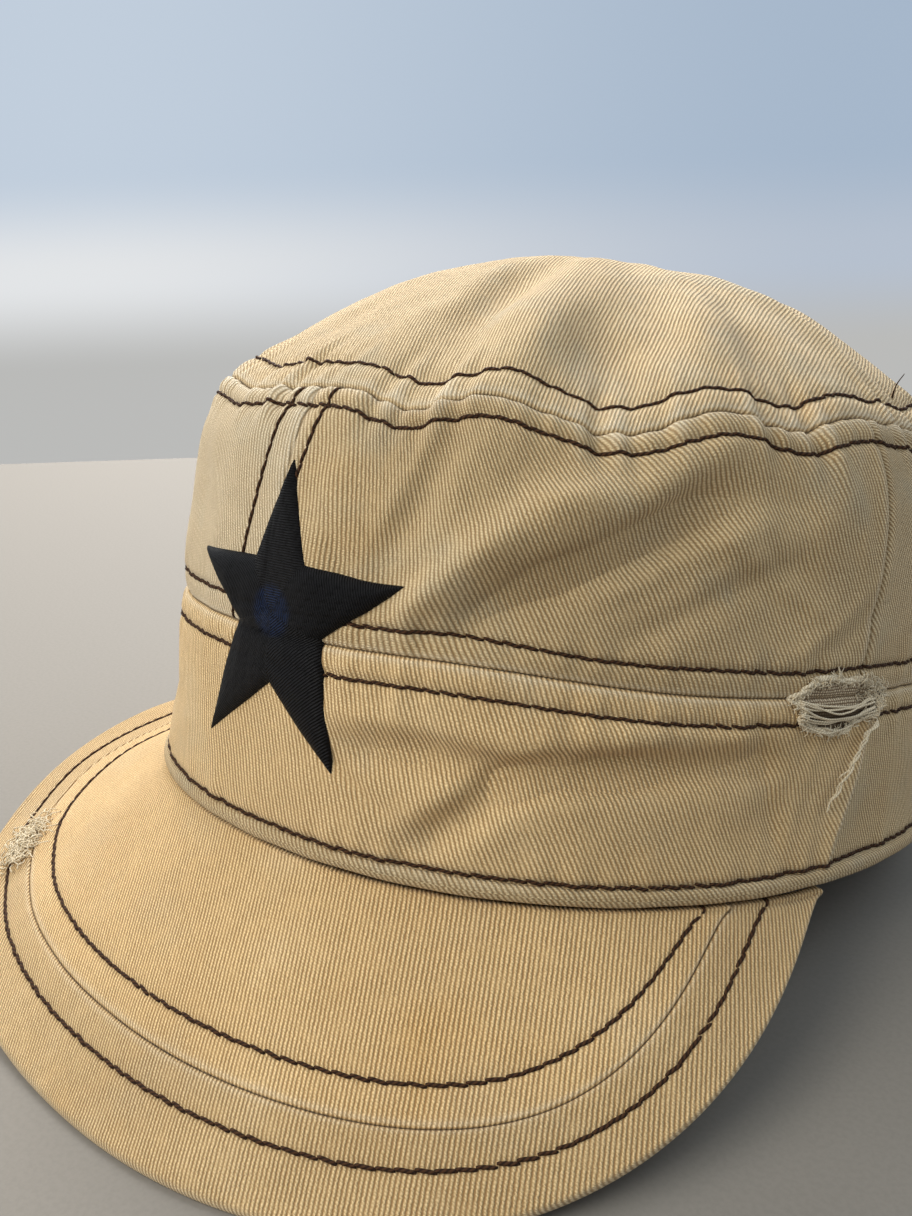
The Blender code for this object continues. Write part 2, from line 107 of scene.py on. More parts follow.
# Lines of the peak: reach from the rim in front, angle of its ends in degrees, fullness and taper
PEAK_EDGE = (0.0577, 80.5, 4.6, 1.6)
PEAK_SEAM = (0.0396, 65.0, 7.6, 1.6)
PEAK_ROWS = ((0.0462, 70.5, 6.6, 1.6), (0.0330, 61.5, 7.4, 1.6))

# Shape of the peak
PEAK_CORNER_REACH = 0.0006
PEAK_SLOPE = 51.0
PEAK_LEFT_EASE = 8.0
PEAK_RIGHT_EASE = 35.0
PEAK_EASE_ANGLE = 63.0
PEAK_EARLY_EASE = 0.6
PEAK_LEAN = 20.0
PEAK_THICKNESS = 0.0030
PEAK_TONGUE = 0.0027
PEAK_DROP = 0.0003
PEAK_TUCK = 0.0024
PEAK_TUCK_START = 0.965

# How the cap lies on the table: its tilt in degrees, and the place that the sewn frame's origin is moved from
REST_TILT = 12.50648
REST_SHIFT = (-0.0034256, -0.0146081, 0.0008)

# Dips and humps of the seams. Columns: angle, lift as a share of SEAM_WAVE, spread in degrees
TOP_WAVES = (
    (-62, -0.45, 7),
    (-38, -0.15, 7),
    (-16, -0.35, 7),
    (7, 0.20, 6),
    (19, -0.45, 5),
    (30, 0.35, 5),
    (46.5, -0.86, 7.5),
    (60, 0.35, 6),
    (71.5, -0.42, 5.5),
    (83, 0.25, 6),
    (104, -0.35, 7),
    (140, -0.50, 8),
    (168, 0.30, 8),
    (205, -0.40, 8),
    (250, -0.50, 8),
)
MIDDLE_WAVES = (
    (33, 0.42, 19),
    (150, -0.20, 24),
    (252, 0.25, 26),
)

# Folds of the bands. Columns: angle, height as a share of the band, lean of the fold from level in degrees,
# half length and half breadth as shares of the band's height, depth as a share of FOLD_DEPTH
UPPER_FOLDS = (
    (41, 0.54, 40, 0.52, 0.15, 0.95),
    (40, 0.30, 40, 0.42, 0.16, -0.85),
    (37, 0.78, 60, 0.20, 0.11, -0.50),
    (54, 0.58, 65, 0.32, 0.14, -0.75),
    (69, 0.40, 35, 0.30, 0.14, -0.55),
    (74, 0.62, 95, 0.34, 0.11, 0.50),
    (22, 0.52, 76, 0.38, 0.09, -0.40),
    (11, 0.50, 82, 0.36, 0.09, 0.35),
    (-24, 0.55, -60, 0.35, 0.13, -0.45),
    (-52, 0.48, -42, 0.42, 0.15, -0.70),
    (-60, 0.66, -42, 0.36, 0.13, 0.55),
    (112, 0.50, 62, 0.38, 0.14, -0.50),
    (146, 0.55, 104, 0.32, 0.15, -0.45),
    (196, 0.50, 78, 0.35, 0.16, -0.50),
    (240, 0.50, 118, 0.36, 0.14, -0.50),
)
LOWER_FOLDS = (
    (52, 0.66, 3, 0.60, 0.13, -0.70),
    (35, 0.45, 46, 0.30, 0.11, -0.50),
    (43, 0.80, 0, 0.40, 0.12, 0.30),
    (29, 0.62, -10, 0.30, 0.12, -0.45),
    (69, 0.38, 5, 0.28, 0.16, -0.40),
    (84, 0.50, 72, 0.35, 0.12, 0.30),
    (-34, 0.55, -18, 0.42, 0.14, -0.45),
    (-66, 0.45, 20, 0.38, 0.15, -0.40),
    (120, 0.50, 24, 0.45, 0.16, -0.40),
    (178, 0.55, -12, 0.50, 0.16, -0.35),
    (232, 0.50, 18, 0.45, 0.16, -0.40),
)

# Dents of the top. Columns: angle, distance from the middle as a share of the way to the seam, lean of the
# dent from the line to the middle in degrees, half length and half breadth as shares of TOP_HALF_WIDTH, depth
# as a share of FOLD_DEPTH
TOP_DENTS = (
    (18, 0.66, 6, 0.17, 0.07, -0.65),
    (45, 0.86, -4, 0.15, 0.10, -0.95),
    (33, 0.82, 0, 0.15, 0.07, 0.40),
    (14, 0.88, 4, 0.14, 0.07, -0.45),
    (53, 0.62, 0, 0.16, 0.08, -0.40),
    (69, 0.86, 0, 0.14, 0.06, -0.40),
    (95, 0.72, 14, 0.26, 0.06, 0.40),
    (-30, 0.80, 0, 0.20, 0.09, -0.45),
    (-68, 0.78, 6, 0.20, 0.09, -0.50),
    (132, 0.78, 0, 0.20, 0.10, -0.50),
    (172, 0.76, -8, 0.22, 0.10, -0.40),
    (222, 0.78, 6, 0.22, 0.10, -0.50),
)

# Creases of the crown: ridges lift and furrows sink. Columns: angle and station of each end, half breadth,
# lift. A crease fades out past its ends over its breadth and CREASE_FADE
CREASE_FADE = 0.004
CREASES = (
    (26, 1.25, 33, 1.46, 0.0032, 0.0019),
    (33, 1.46, 41, 1.68, 0.0038, 0.0018),
    (41, 1.68, 58, 1.86, 0.0036, 0.0013),
    (33, 1.20, 40, 1.38, 0.0038, -0.0022),
    (41, 1.38, 51, 1.60, 0.0044, -0.0020),
    (51, 1.60, 66, 1.72, 0.0042, -0.0014),
    (47, 1.38, 61, 1.60, 0.0032, 0.0012),
    (52, 1.24, 66, 1.46, 0.0034, -0.0013),
    (60, 1.54, 72, 1.36, 0.0026, 0.0007),
    (23, 1.80, 20, 1.58, 0.0022, 0.0007),
    (27, 1.82, 24, 1.60, 0.0030, -0.0006),
    (72, 1.20, 79, 1.34, 0.0020, 0.0006),
    (78, 1.20, 84, 1.30, 0.0020, -0.0005),
    (76, 1.86, 80, 1.55, 0.0030, 0.0007),
    (12, 1.44, 16, 1.22, 0.0026, -0.0006),
    (19, 0.71, 37, 0.71, 0.0026, 0.0012),
    (21, 0.56, 34, 0.57, 0.0030, -0.0016),
    (29, 0.38, 38, 0.64, 0.0024, 0.0008),
    (38, 0.70, 50, 0.79, 0.0026, 0.0012),
    (50, 0.78, 64, 0.82, 0.0026, 0.0009),
    (31, 0.28, 39, 0.50, 0.0028, -0.0016),
    (39, 0.53, 50, 0.61, 0.0028, -0.0018),
    (50, 0.61, 66, 0.65, 0.0030, -0.0016),
    (16, 0.49, 22, 0.35, 0.0011, -0.0007),
    (68, 0.78, 72, 0.20, 0.0020, -0.0007),
    (6, 2.46, 13, 2.16, 0.0034, 0.0004),
    (16, 2.42, 22, 2.16, 0.0036, -0.0004),
    (34, 2.22, 32, 2.10, 0.0030, 0.0005),
    (42, 2.24, 40, 2.11, 0.0032, -0.0005),
    (48, 2.26, 51, 2.14, 0.0026, 0.0004),
    (55, 2.24, 59, 2.12, 0.0028, -0.0004),
    (66, 2.26, 67, 2.12, 0.0028, 0.0004),
    (73, 2.24, 74, 2.12, 0.0028, -0.0003),
)

# Puckers along the seams: waves round the cap and their phases
PUCKER_WAVES = ((47, 0.4), (61, 2.1), (83, 4.0), (97, 5.2))
STITCH_WAVE = 171

# Relief across the seams. Every groove and every valley under a row of stitches has one breadth
GROOVE_BREADTH = 0.00042
VALLEY_BREADTH = 0.0010

# Depth of the groove, height of the ridge and depth of the valleys of the top seam. The middle seam's ridge
# is lower above it
TOP_PRESS = (0.0006, 0.00022, 0.00050)
MIDDLE_GROOVE = 0.0005
MIDDLE_RIDGE_ABOVE = 0.00008
MIDDLE_RIDGE_BELOW = 0.00020
MIDDLE_VALLEY = 0.00050

# The same of the upright seams, with the half width of the sewn strip before them
FRONT_PRESS = (0.0070, 0.0004, 0.00012, 0.0)
SIDE_PRESS = (0.0040, 0.0005, 0.00030, 0.0)
FRONT_ROW_VALLEY = 0.00040
HEM_VALLEY = 0.0004

# Lapped seam: height of the lap, how far it fades, and the height and length of its small waves
LAP_HEIGHT = 0.0009
LAP_SPAN = 0.0035
LAP_WAVE = 0.00012
LAP_WAVE_LENGTH = 0.0064

# Steps of the finite differences, in radians, stations and metres, and the stations over which a wall turns
# level
ANGLE_STEP = 0.02
STATION_STEP = 0.03
REACH_STEP = 0.001
RIM_LEVEL_SPAN = 0.5

# Colours of the twill in its grooves and on its crests where it is greyed, stained, or paled by rubbing and
# by painted light, and the dark of its seam lines and of the painted shade under its stitches
GREYED = ((0.24, 0.20, 0.13), (0.66, 0.60, 0.44))
STAINED = ((0.28, 0.150, 0.050), (0.78, 0.545, 0.26))
BLEACHED_AND_LIT = ((0.46, 0.36, 0.23), (0.86, 0.77, 0.60))
DARK_LINES_AND_SHADE = (0.10, 0.060, 0.028)


def unit(vectors):
    """Gives the vectors with length one."""
    return vectors / np.maximum(np.linalg.norm(vectors, axis=-1, keepdims=True), 1e-12)


def plan(angle, half_length, half_width, forward=0.0):
    """Gives the place, seen from above, where a rounded oval meets a line at an angle."""
    sine, cosine = np.sin(angle), np.cos(angle)
    fit = (np.abs(sine) ** CORNER_FULLNESS + np.abs(cosine) ** CORNER_FULLNESS) ** (-1.0 / CORNER_FULLNESS)
    return half_width * sine * fit, -forward - half_length * cosine * fit


def turned_apart(angle, place):
    """Gives how far each angle lies from a place in degrees, by the shorter way round, in degrees."""
    return (np.degrees(angle) - place + 180.0) % 360.0 - 180.0


def bell(distance, breadth):
    """Gives a bell curve: 1 at distance zero, and fading out within about two breadths."""
    return np.exp(-((distance / breadth) ** 2))


def seam_lift(angle, waves):
    """Adds up the dips and humps of a seam, each a bell shape along it."""
    bells = (height * bell(turned_apart(angle, place), spread) for place, height, spread in waves)
    return SEAM_WAVE * sum(bells)


def rim_ring(angle):
    """Gives the lower edge of the crown, which dips towards the front."""
    x, y = plan(angle, RIM_HALF_LENGTH, RIM_HALF_WIDTH)
    return np.stack([x, y, -RIM_FRONT_DIP * ((1.0 + np.cos(angle)) / 2.0) ** RIM_DIP_POWER], axis=-1)


def middle_ring(angle):
    """Gives the seam between the two bands of the side."""
    x, y = plan(angle, MIDDLE_HALF_LENGTH, MIDDLE_HALF_WIDTH)
    return np.stack([x, y, LOWER_BAND_HEIGHT + seam_lift(angle, MIDDLE_WAVES)], axis=-1)


def top_ring(angle):
    """Gives the wavy seam between the side and the top, which is lower in front."""
    x, y = plan(angle, TOP_HALF_LENGTH, TOP_HALF_WIDTH, TOP_SET_FORWARD)
    z = LOWER_BAND_HEIGHT + UPPER_BAND_HEIGHT - TOP_FRONT_DROP * np.cos(angle) + seam_lift(angle, TOP_WAVES)
    return np.stack([x, y, z], axis=-1)


def girth(station):
    """Gives the length of one radian round the crown, near enough for sizes of folds and seams."""
    return (MIDDLE_HALF_LENGTH + MIDDLE_HALF_WIDTH) / 2.0 * np.clip(1.0 - 0.07 * (station - 1.0), 0.5, 1.0)


def seam_hold(share):
    """Gives 1 inside a panel and 0 on its seams."""
    return np.clip(1.0 - np.abs(2.0 * share - 1.0) ** SEAM_HOLD_POWER, 0.0, 1.0)


def fold_lift(angle, share, height, folds):
    """Adds up the folds of a band: each is a long leaning bell shape, and all fade out at the seams."""
    lift = np.zeros_like(angle)
    degree = math.radians(1.0) * (MIDDLE_HALF_LENGTH + MIDDLE_HALF_WIDTH) / 2.0
    for place, level, lean, reach, breadth, depth in folds:
        across = turned_apart(angle, place) * degree
        up = (share - level) * height
        cosine, sine = math.cos(math.radians(lean)), math.sin(math.radians(lean))
        along = across * cosine + up * sine
        beside = up * cosine - across * sine
        lift = lift + FOLD_DEPTH * depth * bell(along, reach * height) * bell(beside, breadth * height)
    return lift * seam_hold(share)


def dent_lift(angle, share):
    """Adds up the dents of the top, each a bell shape that points at the middle of the top."""
    lift = np.zeros_like(angle)
    x, y = share * np.sin(angle), share * np.cos(angle)
    for place, out, lean, reach, breadth, depth in TOP_DENTS:
        turn = math.radians(place)
        east, north = x - out * math.sin(turn), y - out * math.cos(turn)
        turn = turn + math.radians(lean)
        along = east * math.sin(turn) + north * math.cos(turn)
        beside = east * math.cos(turn) - north * math.sin(turn)
        lift = lift + FOLD_DEPTH * depth * bell(along, reach) * bell(beside, breadth)
    return lift * np.clip(1.0 - share**DENT_HOLD_POWER, 0.0, 1.0)


def plain_crown(angle, station):
    """Gives the crown's outer face without folds: two bands and a dome, each carried from seam to seam."""
    rim, middle, top = rim_ring(angle), middle_ring(angle), top_ring(angle)
    lower = np.clip(station, 0.0, 1.0)[..., None]
    upper = np.clip(station - 1.0, 0.0, 1.0)[..., None]
    inward = np.clip(station - 2.0, 0.0, 1.0)[..., None]
    bend = (SHOULDER_POWER + SHOULDER_FRONT_GAIN * np.cos(angle))[..., None]
    level = 1.0 - UP
    point = rim + (middle - rim) * (level * (1.0 - (1.0 - lower) ** RIM_FLARE_POWER) + UP * lower)
    point = point + (top - middle) * (level * upper**bend + UP * upper)
    out = 1.0 - inward
    crest = UP * (LOWER_BAND_HEIGHT + UPPER_BAND_HEIGHT)
    dome = crest + (top - crest) * (level * out + UP * out**2) + UP * DOME_HEIGHT * (1.0 - out**DOME_FULLNESS)
    return np.where(inward > 0.0, dome, point)


def facing(surface, first, second, first_step, second_step):
    """Gives the outward direction of a surface of two values, from its slopes on both sides of a point."""
    one = surface(first + first_step, second) - surface(first - first_step, second)
    two = surface(first, second + second_step) - surface(first, second - second_step)
    return unit(np.cross(one, two))


def crown_slope(surface, angle, station, step=STATION_STEP):
    """Gives the outward direction of the crown, with the middle of the top facing straight up."""
    station = np.clip(station, step, 3.0 - 2.0 * step)
    return facing(surface, angle, station, ANGLE_STEP, step)


def crown(angle, station):
    """Gives the crown's outer face with its pillowed bands, folds and dents."""
    lower, upper, out = (np.clip(value, 0.0, 1.0) for value in (station, station - 1.0, 3.0 - station))
    lift = fold_lift(angle, lower, LOWER_BAND_HEIGHT, LOWER_FOLDS)
    lift = lift + fold_lift(angle, upper, UPPER_BAND_HEIGHT, UPPER_FOLDS)
    lift = lift + np.where(station > 2.0, dent_lift(angle, out), 0.0)
    lift = lift + BAND_PILLOW * (seam_hold(lower) + seam_hold(upper))
    return plain_crown(angle, station) + lift[..., None] * crown_slope(plain_crown, angle, station)


def wall_direction(angle, station):
    """Gives the direction through the cloth: square to it, level at the rim and upright at the top's
    middle."""
    direction = crown_slope(crown, angle, station)
    direction[..., 2] *= np.clip(station / RIM_LEVEL_SPAN, 0.0, 1.0)
    return np.where((station >= 3.0)[..., None], UP, unit(direction))


def ripples(points, size, seed):
    """Gives a smooth random field of about -1 to 1: ten sine waves through space, drawn from a seed."""
    draw = np.random.default_rng(seed)
    waves = unit(draw.normal(size=(10, 3))) * (TURN / size / draw.uniform(0.6, 1.7, (10, 1)))
    phases = draw.uniform(0.0, TURN, 10)
    return sum(np.sin(points @ wave + phase) for wave, phase in zip(waves, phases)) / 4.0


def seam_press(distance, row, groove, ridge, valley):
    """Gives the relief across a sewn seam: a groove, a ridge of double cloth and a valley under each
    stitch."""
    away = np.abs(distance)
    relief = ridge * bell(away - row / 2.0, row * 0.36) - groove * bell(away, GROOVE_BREADTH)
    return relief - valley * bell(away - row, VALLEY_BREADTH)


def seam_wear_and_shade(distance, row, wear_and_shade_level):
    """Gives how pale a sewn seam is: dark in its line, pale beside it, and a little dark under each stitch,
    where shade is painted."""
    away = np.abs(distance)
    line = wear_and_shade_level * bell(away, 0.0013) - (wear_and_shade_level + 0.8) * bell(away, 0.00030)
    # Painted shade under each row of stitches
    return line - 0.30 * bell(away - row, 0.0008)


def seam_step(distance):
    """Gives the relief across a lapped seam: the cloth in front of it lies on top, folded and wavy."""
    lap = 0.5 - 0.5 * np.tanh(distance / 0.0004)
    wave = LAP_WAVE * np.sin(np.clip(-distance, 0.0, 0.02) / LAP_WAVE_LENGTH * TURN)
    return lap * (LAP_HEIGHT * bell(distance, LAP_SPAN) + wave)


def slanted(seam, share):
    """Gives the place in degrees of an upright seam, from its places above and below, at a share of its
    height."""
    return seam[1] + (seam[0] - seam[1]) * share


def station_at(climb):
    """Gives the station at a height above the middle seam, measured on the cloth."""
    return 1.0 + climb / np.where(climb > 0.0, UPPER_BAND_HEIGHT, LOWER_BAND_HEIGHT)


def seam_distances(angle, station):
    """Gives the distances from the rim, middle, top, front, side and slanted seams, up or round positive."""
    rim = station * LOWER_BAND_HEIGHT
    middle = (station - 1.0) * np.where(station < 1.0, LOWER_BAND_HEIGHT, UPPER_BAND_HEIGHT)
    top = (station - 2.0) * np.where(station < 2.0, UPPER_BAND_HEIGHT, TOP_RUN)
    upper = np.clip(station - 1.0, 0.0, 1.0)
    lower = np.clip(station, 0.0, 1.0)
    degree = girth(station) * math.radians(1.0)
    front = turned_apart(angle, slanted(FRONT_SEAM, upper)) * degree
    side = (np.abs(turned_apart(angle, 0.0)) - slanted(SIDE_SEAM, upper)) * degree
    slant = (np.abs(turned_apart(angle, 0.0)) - slanted(LOWER_SEAM, lower)) * degree
    return rim, middle, top, front, side, slant


def stitch_rows(middle, top):
    """Gives how far the nearer row of stitches lies from the middle seam and from the top seam."""
    middle_row = np.where(middle > 0.0, MIDDLE_STITCH_ABOVE, MIDDLE_STITCH_BELOW)
    return middle_row, np.where(top > 0.0, TOP_STITCH_ABOVE, TOP_STITCH_BELOW)


def puckers(angle):
    """Gives the puckers round the cap: a few sine waves that don't repeat together."""
    return sum(np.sin(count * angle + phase) for count, phase in PUCKER_WAVES) / 2.0


def spread_out(angle, station, on_top):
    """Gives a flat place for a point of the crown: round and up on the bands, seen from above on the top."""
    if on_top:
        out = 3.0 - station
        return TOP_HALF_WIDTH * out * np.sin(angle), -TOP_HALF_LENGTH * out * np.cos(angle)
    height = (station - 1.0) * np.where(station < 1.0, LOWER_BAND_HEIGHT, UPPER_BAND_HEIGHT)
    return np.radians(turned_apart(angle, 40.0)) * girth(1.0), height


def crease_lift(angle, station):
    """Adds up the creases: each is a bell across a straight line on the flat cloth, fading past its ends."""
    lift = np.zeros_like(angle)
    for first, low, last, high, breadth, depth in CREASES:
        on_top = low > 2.0
        ends = np.radians(np.array([first, last], float)), np.array([low, high])
        (x0, x1), (y0, y1) = spread_out(*ends, on_top)
        x, y = spread_out(angle, station, on_top)
        length = math.hypot(x1 - x0, y1 - y0)
        cosine, sine = (x1 - x0) / length, (y1 - y0) / length
        along = (x - x0) * cosine + (y - y0) * sine
        beside = (y - y0) * cosine - (x - x0) * sine
        past = np.maximum(np.abs(along - length / 2.0) - length / 2.0, 0.0)
        here = (station > 2.0) == on_top
        lift = lift + np.where(here, depth * bell(beside, breadth) * bell(past, CREASE_FADE + breadth), 0.0)
    return lift


def crown_relief(angle, station, base):
    """Gives the fine relief that sewing and long use press into the crown, as a distance outwards."""
    rim, middle, top, front, side, slant = seam_distances(angle, station)
    on_upper = (station >= 1.0) & (station <= 2.0)
    on_lower = station < 1.0
    middle_row, top_row = stitch_rows(middle, top)
    middle_ridge = np.where(middle > 0.0, MIDDLE_RIDGE_ABOVE, MIDDLE_RIDGE_BELOW)
    relief = seam_press(top, top_row, *TOP_PRESS)
    relief = relief + seam_press(middle, middle_row, MIDDLE_GROOVE, middle_ridge, MIDDLE_VALLEY)
    relief = relief + np.where(on_upper, seam_press(front, *FRONT_PRESS) + seam_press(side, *SIDE_PRESS), 0.0)
    for row in FRONT_ROWS:
        beside = np.radians(turned_apart(angle, slanted(row, station - 1.0))) * girth(station)
        relief = relief - np.where(on_upper, FRONT_ROW_VALLEY * bell(beside, VALLEY_BREADTH), 0.0)
    relief = relief + np.where(on_lower, seam_step(slant), 0.0)
    relief = relief - HEM_VALLEY * bell(rim - HEM_STITCH, 0.0009)
    gather = 0.00046 * bell(top + TOP_STITCH_BELOW - 0.0010, 0.0048)
    gather = gather + 0.00036 * bell(top - TOP_STITCH_ABOVE, 0.0060)
    gather = gather + 0.00022 * bell(np.abs(middle) - middle_row, 0.0045)
    gather = gather + 0.00020 * bell(rim - HEM_STITCH, 0.0040)
    tug = 0.00008 * bell(middle + MIDDLE_STITCH_BELOW / 2.0, 0.0026)
    tug = tug + 0.00007 * bell(top + TOP_STITCH_BELOW / 2.0, 0.0024)
    relief = relief + puckers(angle) * gather + tug * np.sin(STITCH_WAVE * angle)
    loose = np.clip(np.abs(middle) / 0.012, 0.0, 1.0) * np.clip(np.abs(top) / 0.012, 0.0, 1.0)
    relief = relief + ripples(base, 0.030, 3) * 0.00045 * loose + ripples(base, 0.011, 5) * 0.00012
    return relief + crease_lift(angle, station) * np.clip(loose * 2.0, 0.0, 1.0)


def crown_cloth(angle, station):
    """Gives the outer face of the cloth with its fine relief, and the direction through it."""
    base = crown(angle, station)
    out = wall_direction(angle, station)
    return base + out * crown_relief(angle, station, base)[..., None], out


def crown_wear_and_shade(angle, station):
    """Gives how rubbed and pale the crown is: 1 where most rubbed, below 0 in dark seam lines and in painted
    shade under the stitches.
    """
    rim, middle, top, front, side, slant = seam_distances(angle, station)
    on_upper = (station >= 1.0) & (station <= 2.0)
    middle_row, top_row = stitch_rows(middle, top)
    wear_and_shade = seam_wear_and_shade(top, top_row, 0.9) + seam_wear_and_shade(middle, middle_row, 0.8)
    upright = 0.5 * bell(front, 0.0040) + 0.5 * bell(side + 0.0010, 0.0016) - 0.3 * bell(side, 0.0003)
    wear_and_shade = wear_and_shade + np.where(on_upper, upright, 0.0)
    wear_and_shade = wear_and_shade + np.where(station < 1.0, 0.7 * bell(slant + 0.0006, 0.0009), 0.0)
    # Painted shade along the hem's row of stitches
    wear_and_shade = wear_and_shade - 0.5 * bell(rim - HEM_STITCH, 0.0008)
    crest = np.clip(puckers(angle), 0.0, 1.0) * (bell(top + 0.003, 0.006) + bell(top - 0.004, 0.006))
    return np.clip(wear_and_shade + 0.35 * crest, -1.0, 1.0)


def peak_slope(angle):
    """Gives how steeply the peak leaves the rim: less so towards its corners, unevenly, as it has been
    bent."""
    share = angle / math.radians(PEAK_EASE_ANGLE)
    ease = np.where(angle > 0.0, PEAK_LEFT_EASE, PEAK_RIGHT_EASE)
    return np.radians(PEAK_SLOPE - ease * (PEAK_EARLY_EASE * share**2 + (1.0 - PEAK_EARLY_EASE) * share**4))


def peak_reach(angle, reach, end_angle, fullness, taper):
    """Gives how far a line of the peak lies from the rim: widest in front, and the corner's width at its
    end."""
    share = np.abs(angle) / math.radians(end_angle)
    fade = np.clip(1.0 - share**fullness, 0.0, 1.0) ** taper
    return PEAK_CORNER_REACH + (reach - PEAK_CORNER_REACH) * fade


def peak(angle, reach):
    """Gives the peak's upper face: straight lines from the rim, leaning to the front, and a tongue at the
    hem."""
    along = unit(rim_ring(angle + ANGLE_STEP) - rim_ring(angle - ANGLE_STEP))
    out = unit(np.cross(along, UP))
    slope = peak_slope(angle)[..., None]
    lean = math.radians(PEAK_LEAN) * np.sin(angle)[..., None]
    down = (out * np.cos(slope) - UP * np.sin(slope)) * np.cos(lean) - along * np.sin(lean)
    length = np.maximum(reach, 0.0)[..., None]
    tongue = np.minimum(reach, 0.0)[..., None]
    return rim_ring(angle) - UP * PEAK_DROP + down * length + out * tongue


def peak_facing(angle, reach):
    """Gives the outward direction of the peak's upper face."""
    return -facing(peak, angle, reach, ANGLE_STEP, REACH_STEP)


def peak_line(share, reach, end_angle, fullness, taper, aside=0.0):
    """Gives the angles and reaches of a line on the peak, moved sideways on the face by a distance.

    share runs from -1 at the wearer's right end to 1 at the left end, and the points crowd towards the ends.
    """
    angle = np.sin(share * math.pi / 2.0) * math.radians(end_angle)
    length = peak_reach(angle, reach, end_angle, fullness, taper)
    wide = peak(angle + ANGLE_STEP, length) - peak(angle - ANGLE_STEP, length)
    round_it = np.linalg.norm(wide, axis=-1) / (2.0 * ANGLE_STEP)
    slant = np.gradient(length) / (np.gradient(angle) * round_it)
    size = np.sqrt(1.0 + slant**2)
    return angle - aside * slant / size / round_it, length + aside / size


def laid(points):
    """Lays points on the table: tips them back about the rim, moves them and presses them flat below."""
    tilt = math.radians(REST_TILT)
    y, z = points[..., 1] - RIM_HALF_LENGTH, points[..., 2]
    turned_y = y * math.cos(tilt) + z * math.sin(tilt) + RIM_HALF_LENGTH
    turned_z = z * math.cos(tilt) - y * math.sin(tilt)
    place = np.stack([points[..., 0], turned_y, turned_z], axis=-1) - np.array(REST_SHIFT)
    place[..., 2] = np.maximum(place[..., 2], 0.0)
    return place


def lengths(points, axis):
    """Gives the length along one direction of a grid of points, from its first point, at every point."""
    steps = np.linalg.norm(np.diff(points, axis=axis), axis=-1)
    return np.insert(np.cumsum(steps, axis=axis), 0, 0.0, axis=axis)


def unrolled(points):
    """Gives where each point of a band lay on its flat cut: its length across from the middle, and up."""
    across = lengths(points, 0)
    across = across - across[len(across) // 2]
    up = lengths(points, 1).mean(axis=0)
    return np.stack([across, np.broadcast_to(up, across.shape)], axis=-1)


def crowded(count, crowding):
    """Gives shares from 0 to 1 that lie closer together at both ends."""
    share = np.linspace(0.0, 1.0, count + 1)
    return share - crowding * np.sin(TURN * share) / TURN


def cells(grid):
    """Gives the four corners of every cell of a grid of point numbers or places, the same way round."""
    corners = np.stack([grid[:-1, :-1], grid[1:, :-1], grid[1:, 1:], grid[:-1, 1:]], axis=2)
    return corners.reshape(-1, *corners.shape[2:])


def add_mesh(name, points, corners, places, wear_and_shade=None):
    """Makes an object from points, the point numbers of its faces' corners and the flat place of each corner.

    corners and places are lists of arrays, one row for each face. Doubled points are merged, and faces turned
    outwards.
    """
    mesh = bpy.data.meshes.new(name)
    faces = [face for rows in corners for face in rows.tolist()]
    mesh.from_pydata(points.tolist(), [], faces)
    layer = mesh.uv_layers.new(name="cloth")
    spots = np.concatenate([rows.reshape(-1, 2) for rows in places])
    layer.uv.foreach_set("vector", spots.astype(np.float32).ravel())
    # The attribute holds rubbed paleness and painted shade on the cloth, and the blue middle on the star
    if wear_and_shade is not None:
        wear_and_shade_level = mesh.attributes.new("wear_and_shade", "FLOAT", "POINT")
        wear_and_shade_level.data.foreach_set("value", wear_and_shade.astype(np.float32).ravel())
    tidy = bmesh.new()
    tidy.from_mesh(mesh)
    bmesh.ops.remove_doubles(tidy, verts=tidy.verts, dist=1e-7)
    bmesh.ops.recalc_face_normals(tidy, faces=tidy.faces)
    tidy.to_mesh(mesh)
    tidy.free()
    mesh.shade_smooth()
    made = bpy.data.objects.new(name, mesh)
    bpy.context.scene.collection.objects.link(made)
    return made


def add_wall(name, outer, inner, closed, places, wear_and_shade):
    """Makes a closed wall of cloth from grids of outer and inner points.

    If the wall runs round to its start, places has one more column than the points.
    """
    columns, rows = outer.shape[:2]
    wrap = np.arange(columns + 1) % columns if closed else np.arange(columns)
    number = np.arange(2 * columns * rows).reshape(2, columns, rows)[:, wrap]
    grids = np.meshgrid(np.arange(len(wrap) - 1), np.arange(rows - 1), indexing="ij")
    column, row = (grid.ravel() for grid in grids)
    line = np.arange(len(wrap) - 1)
    rise = np.arange(rows - 1)
    zero, one = np.zeros_like(line), np.ones_like(line)
    last = one * (rows - 1)
    quads = [
        ((0, column, row), (0, column + 1, row), (0, column + 1, row + 1), (0, column, row + 1)),
        ((1, column, row), (1, column, row + 1), (1, column + 1, row + 1), (1, column + 1, row)),
        ((0, line, zero), (1, line, zero), (1, line + 1, zero), (0, line + 1, zero)),
        ((0, line, last), (0, line + 1, last), (1, line + 1, last), (1, line, last)),
    ]
    if not closed:
        first, end = rise * 0, rise * 0 + len(wrap) - 1
        quads.append(((0, first, rise), (0, first, rise + 1), (1, first, rise + 1), (1, first, rise)))
        quads.append(((0, end, rise), (1, end, rise), (1, end, rise + 1), (0, end, rise + 1)))
    corners = [np.stack([number[side, across, up] for side, across, up in quad], axis=-1) for quad in quads]
    flat = [np.stack([places[across, up] for side, across, up in quad], axis=1) for quad in quads]
    points = np.concatenate([outer.reshape(-1, 3), inner.reshape(-1, 3)])
    return add_mesh(name, points, corners, flat, np.concatenate([wear_and_shade.ravel(), wear_and_shade.ravel() * 0.0]))


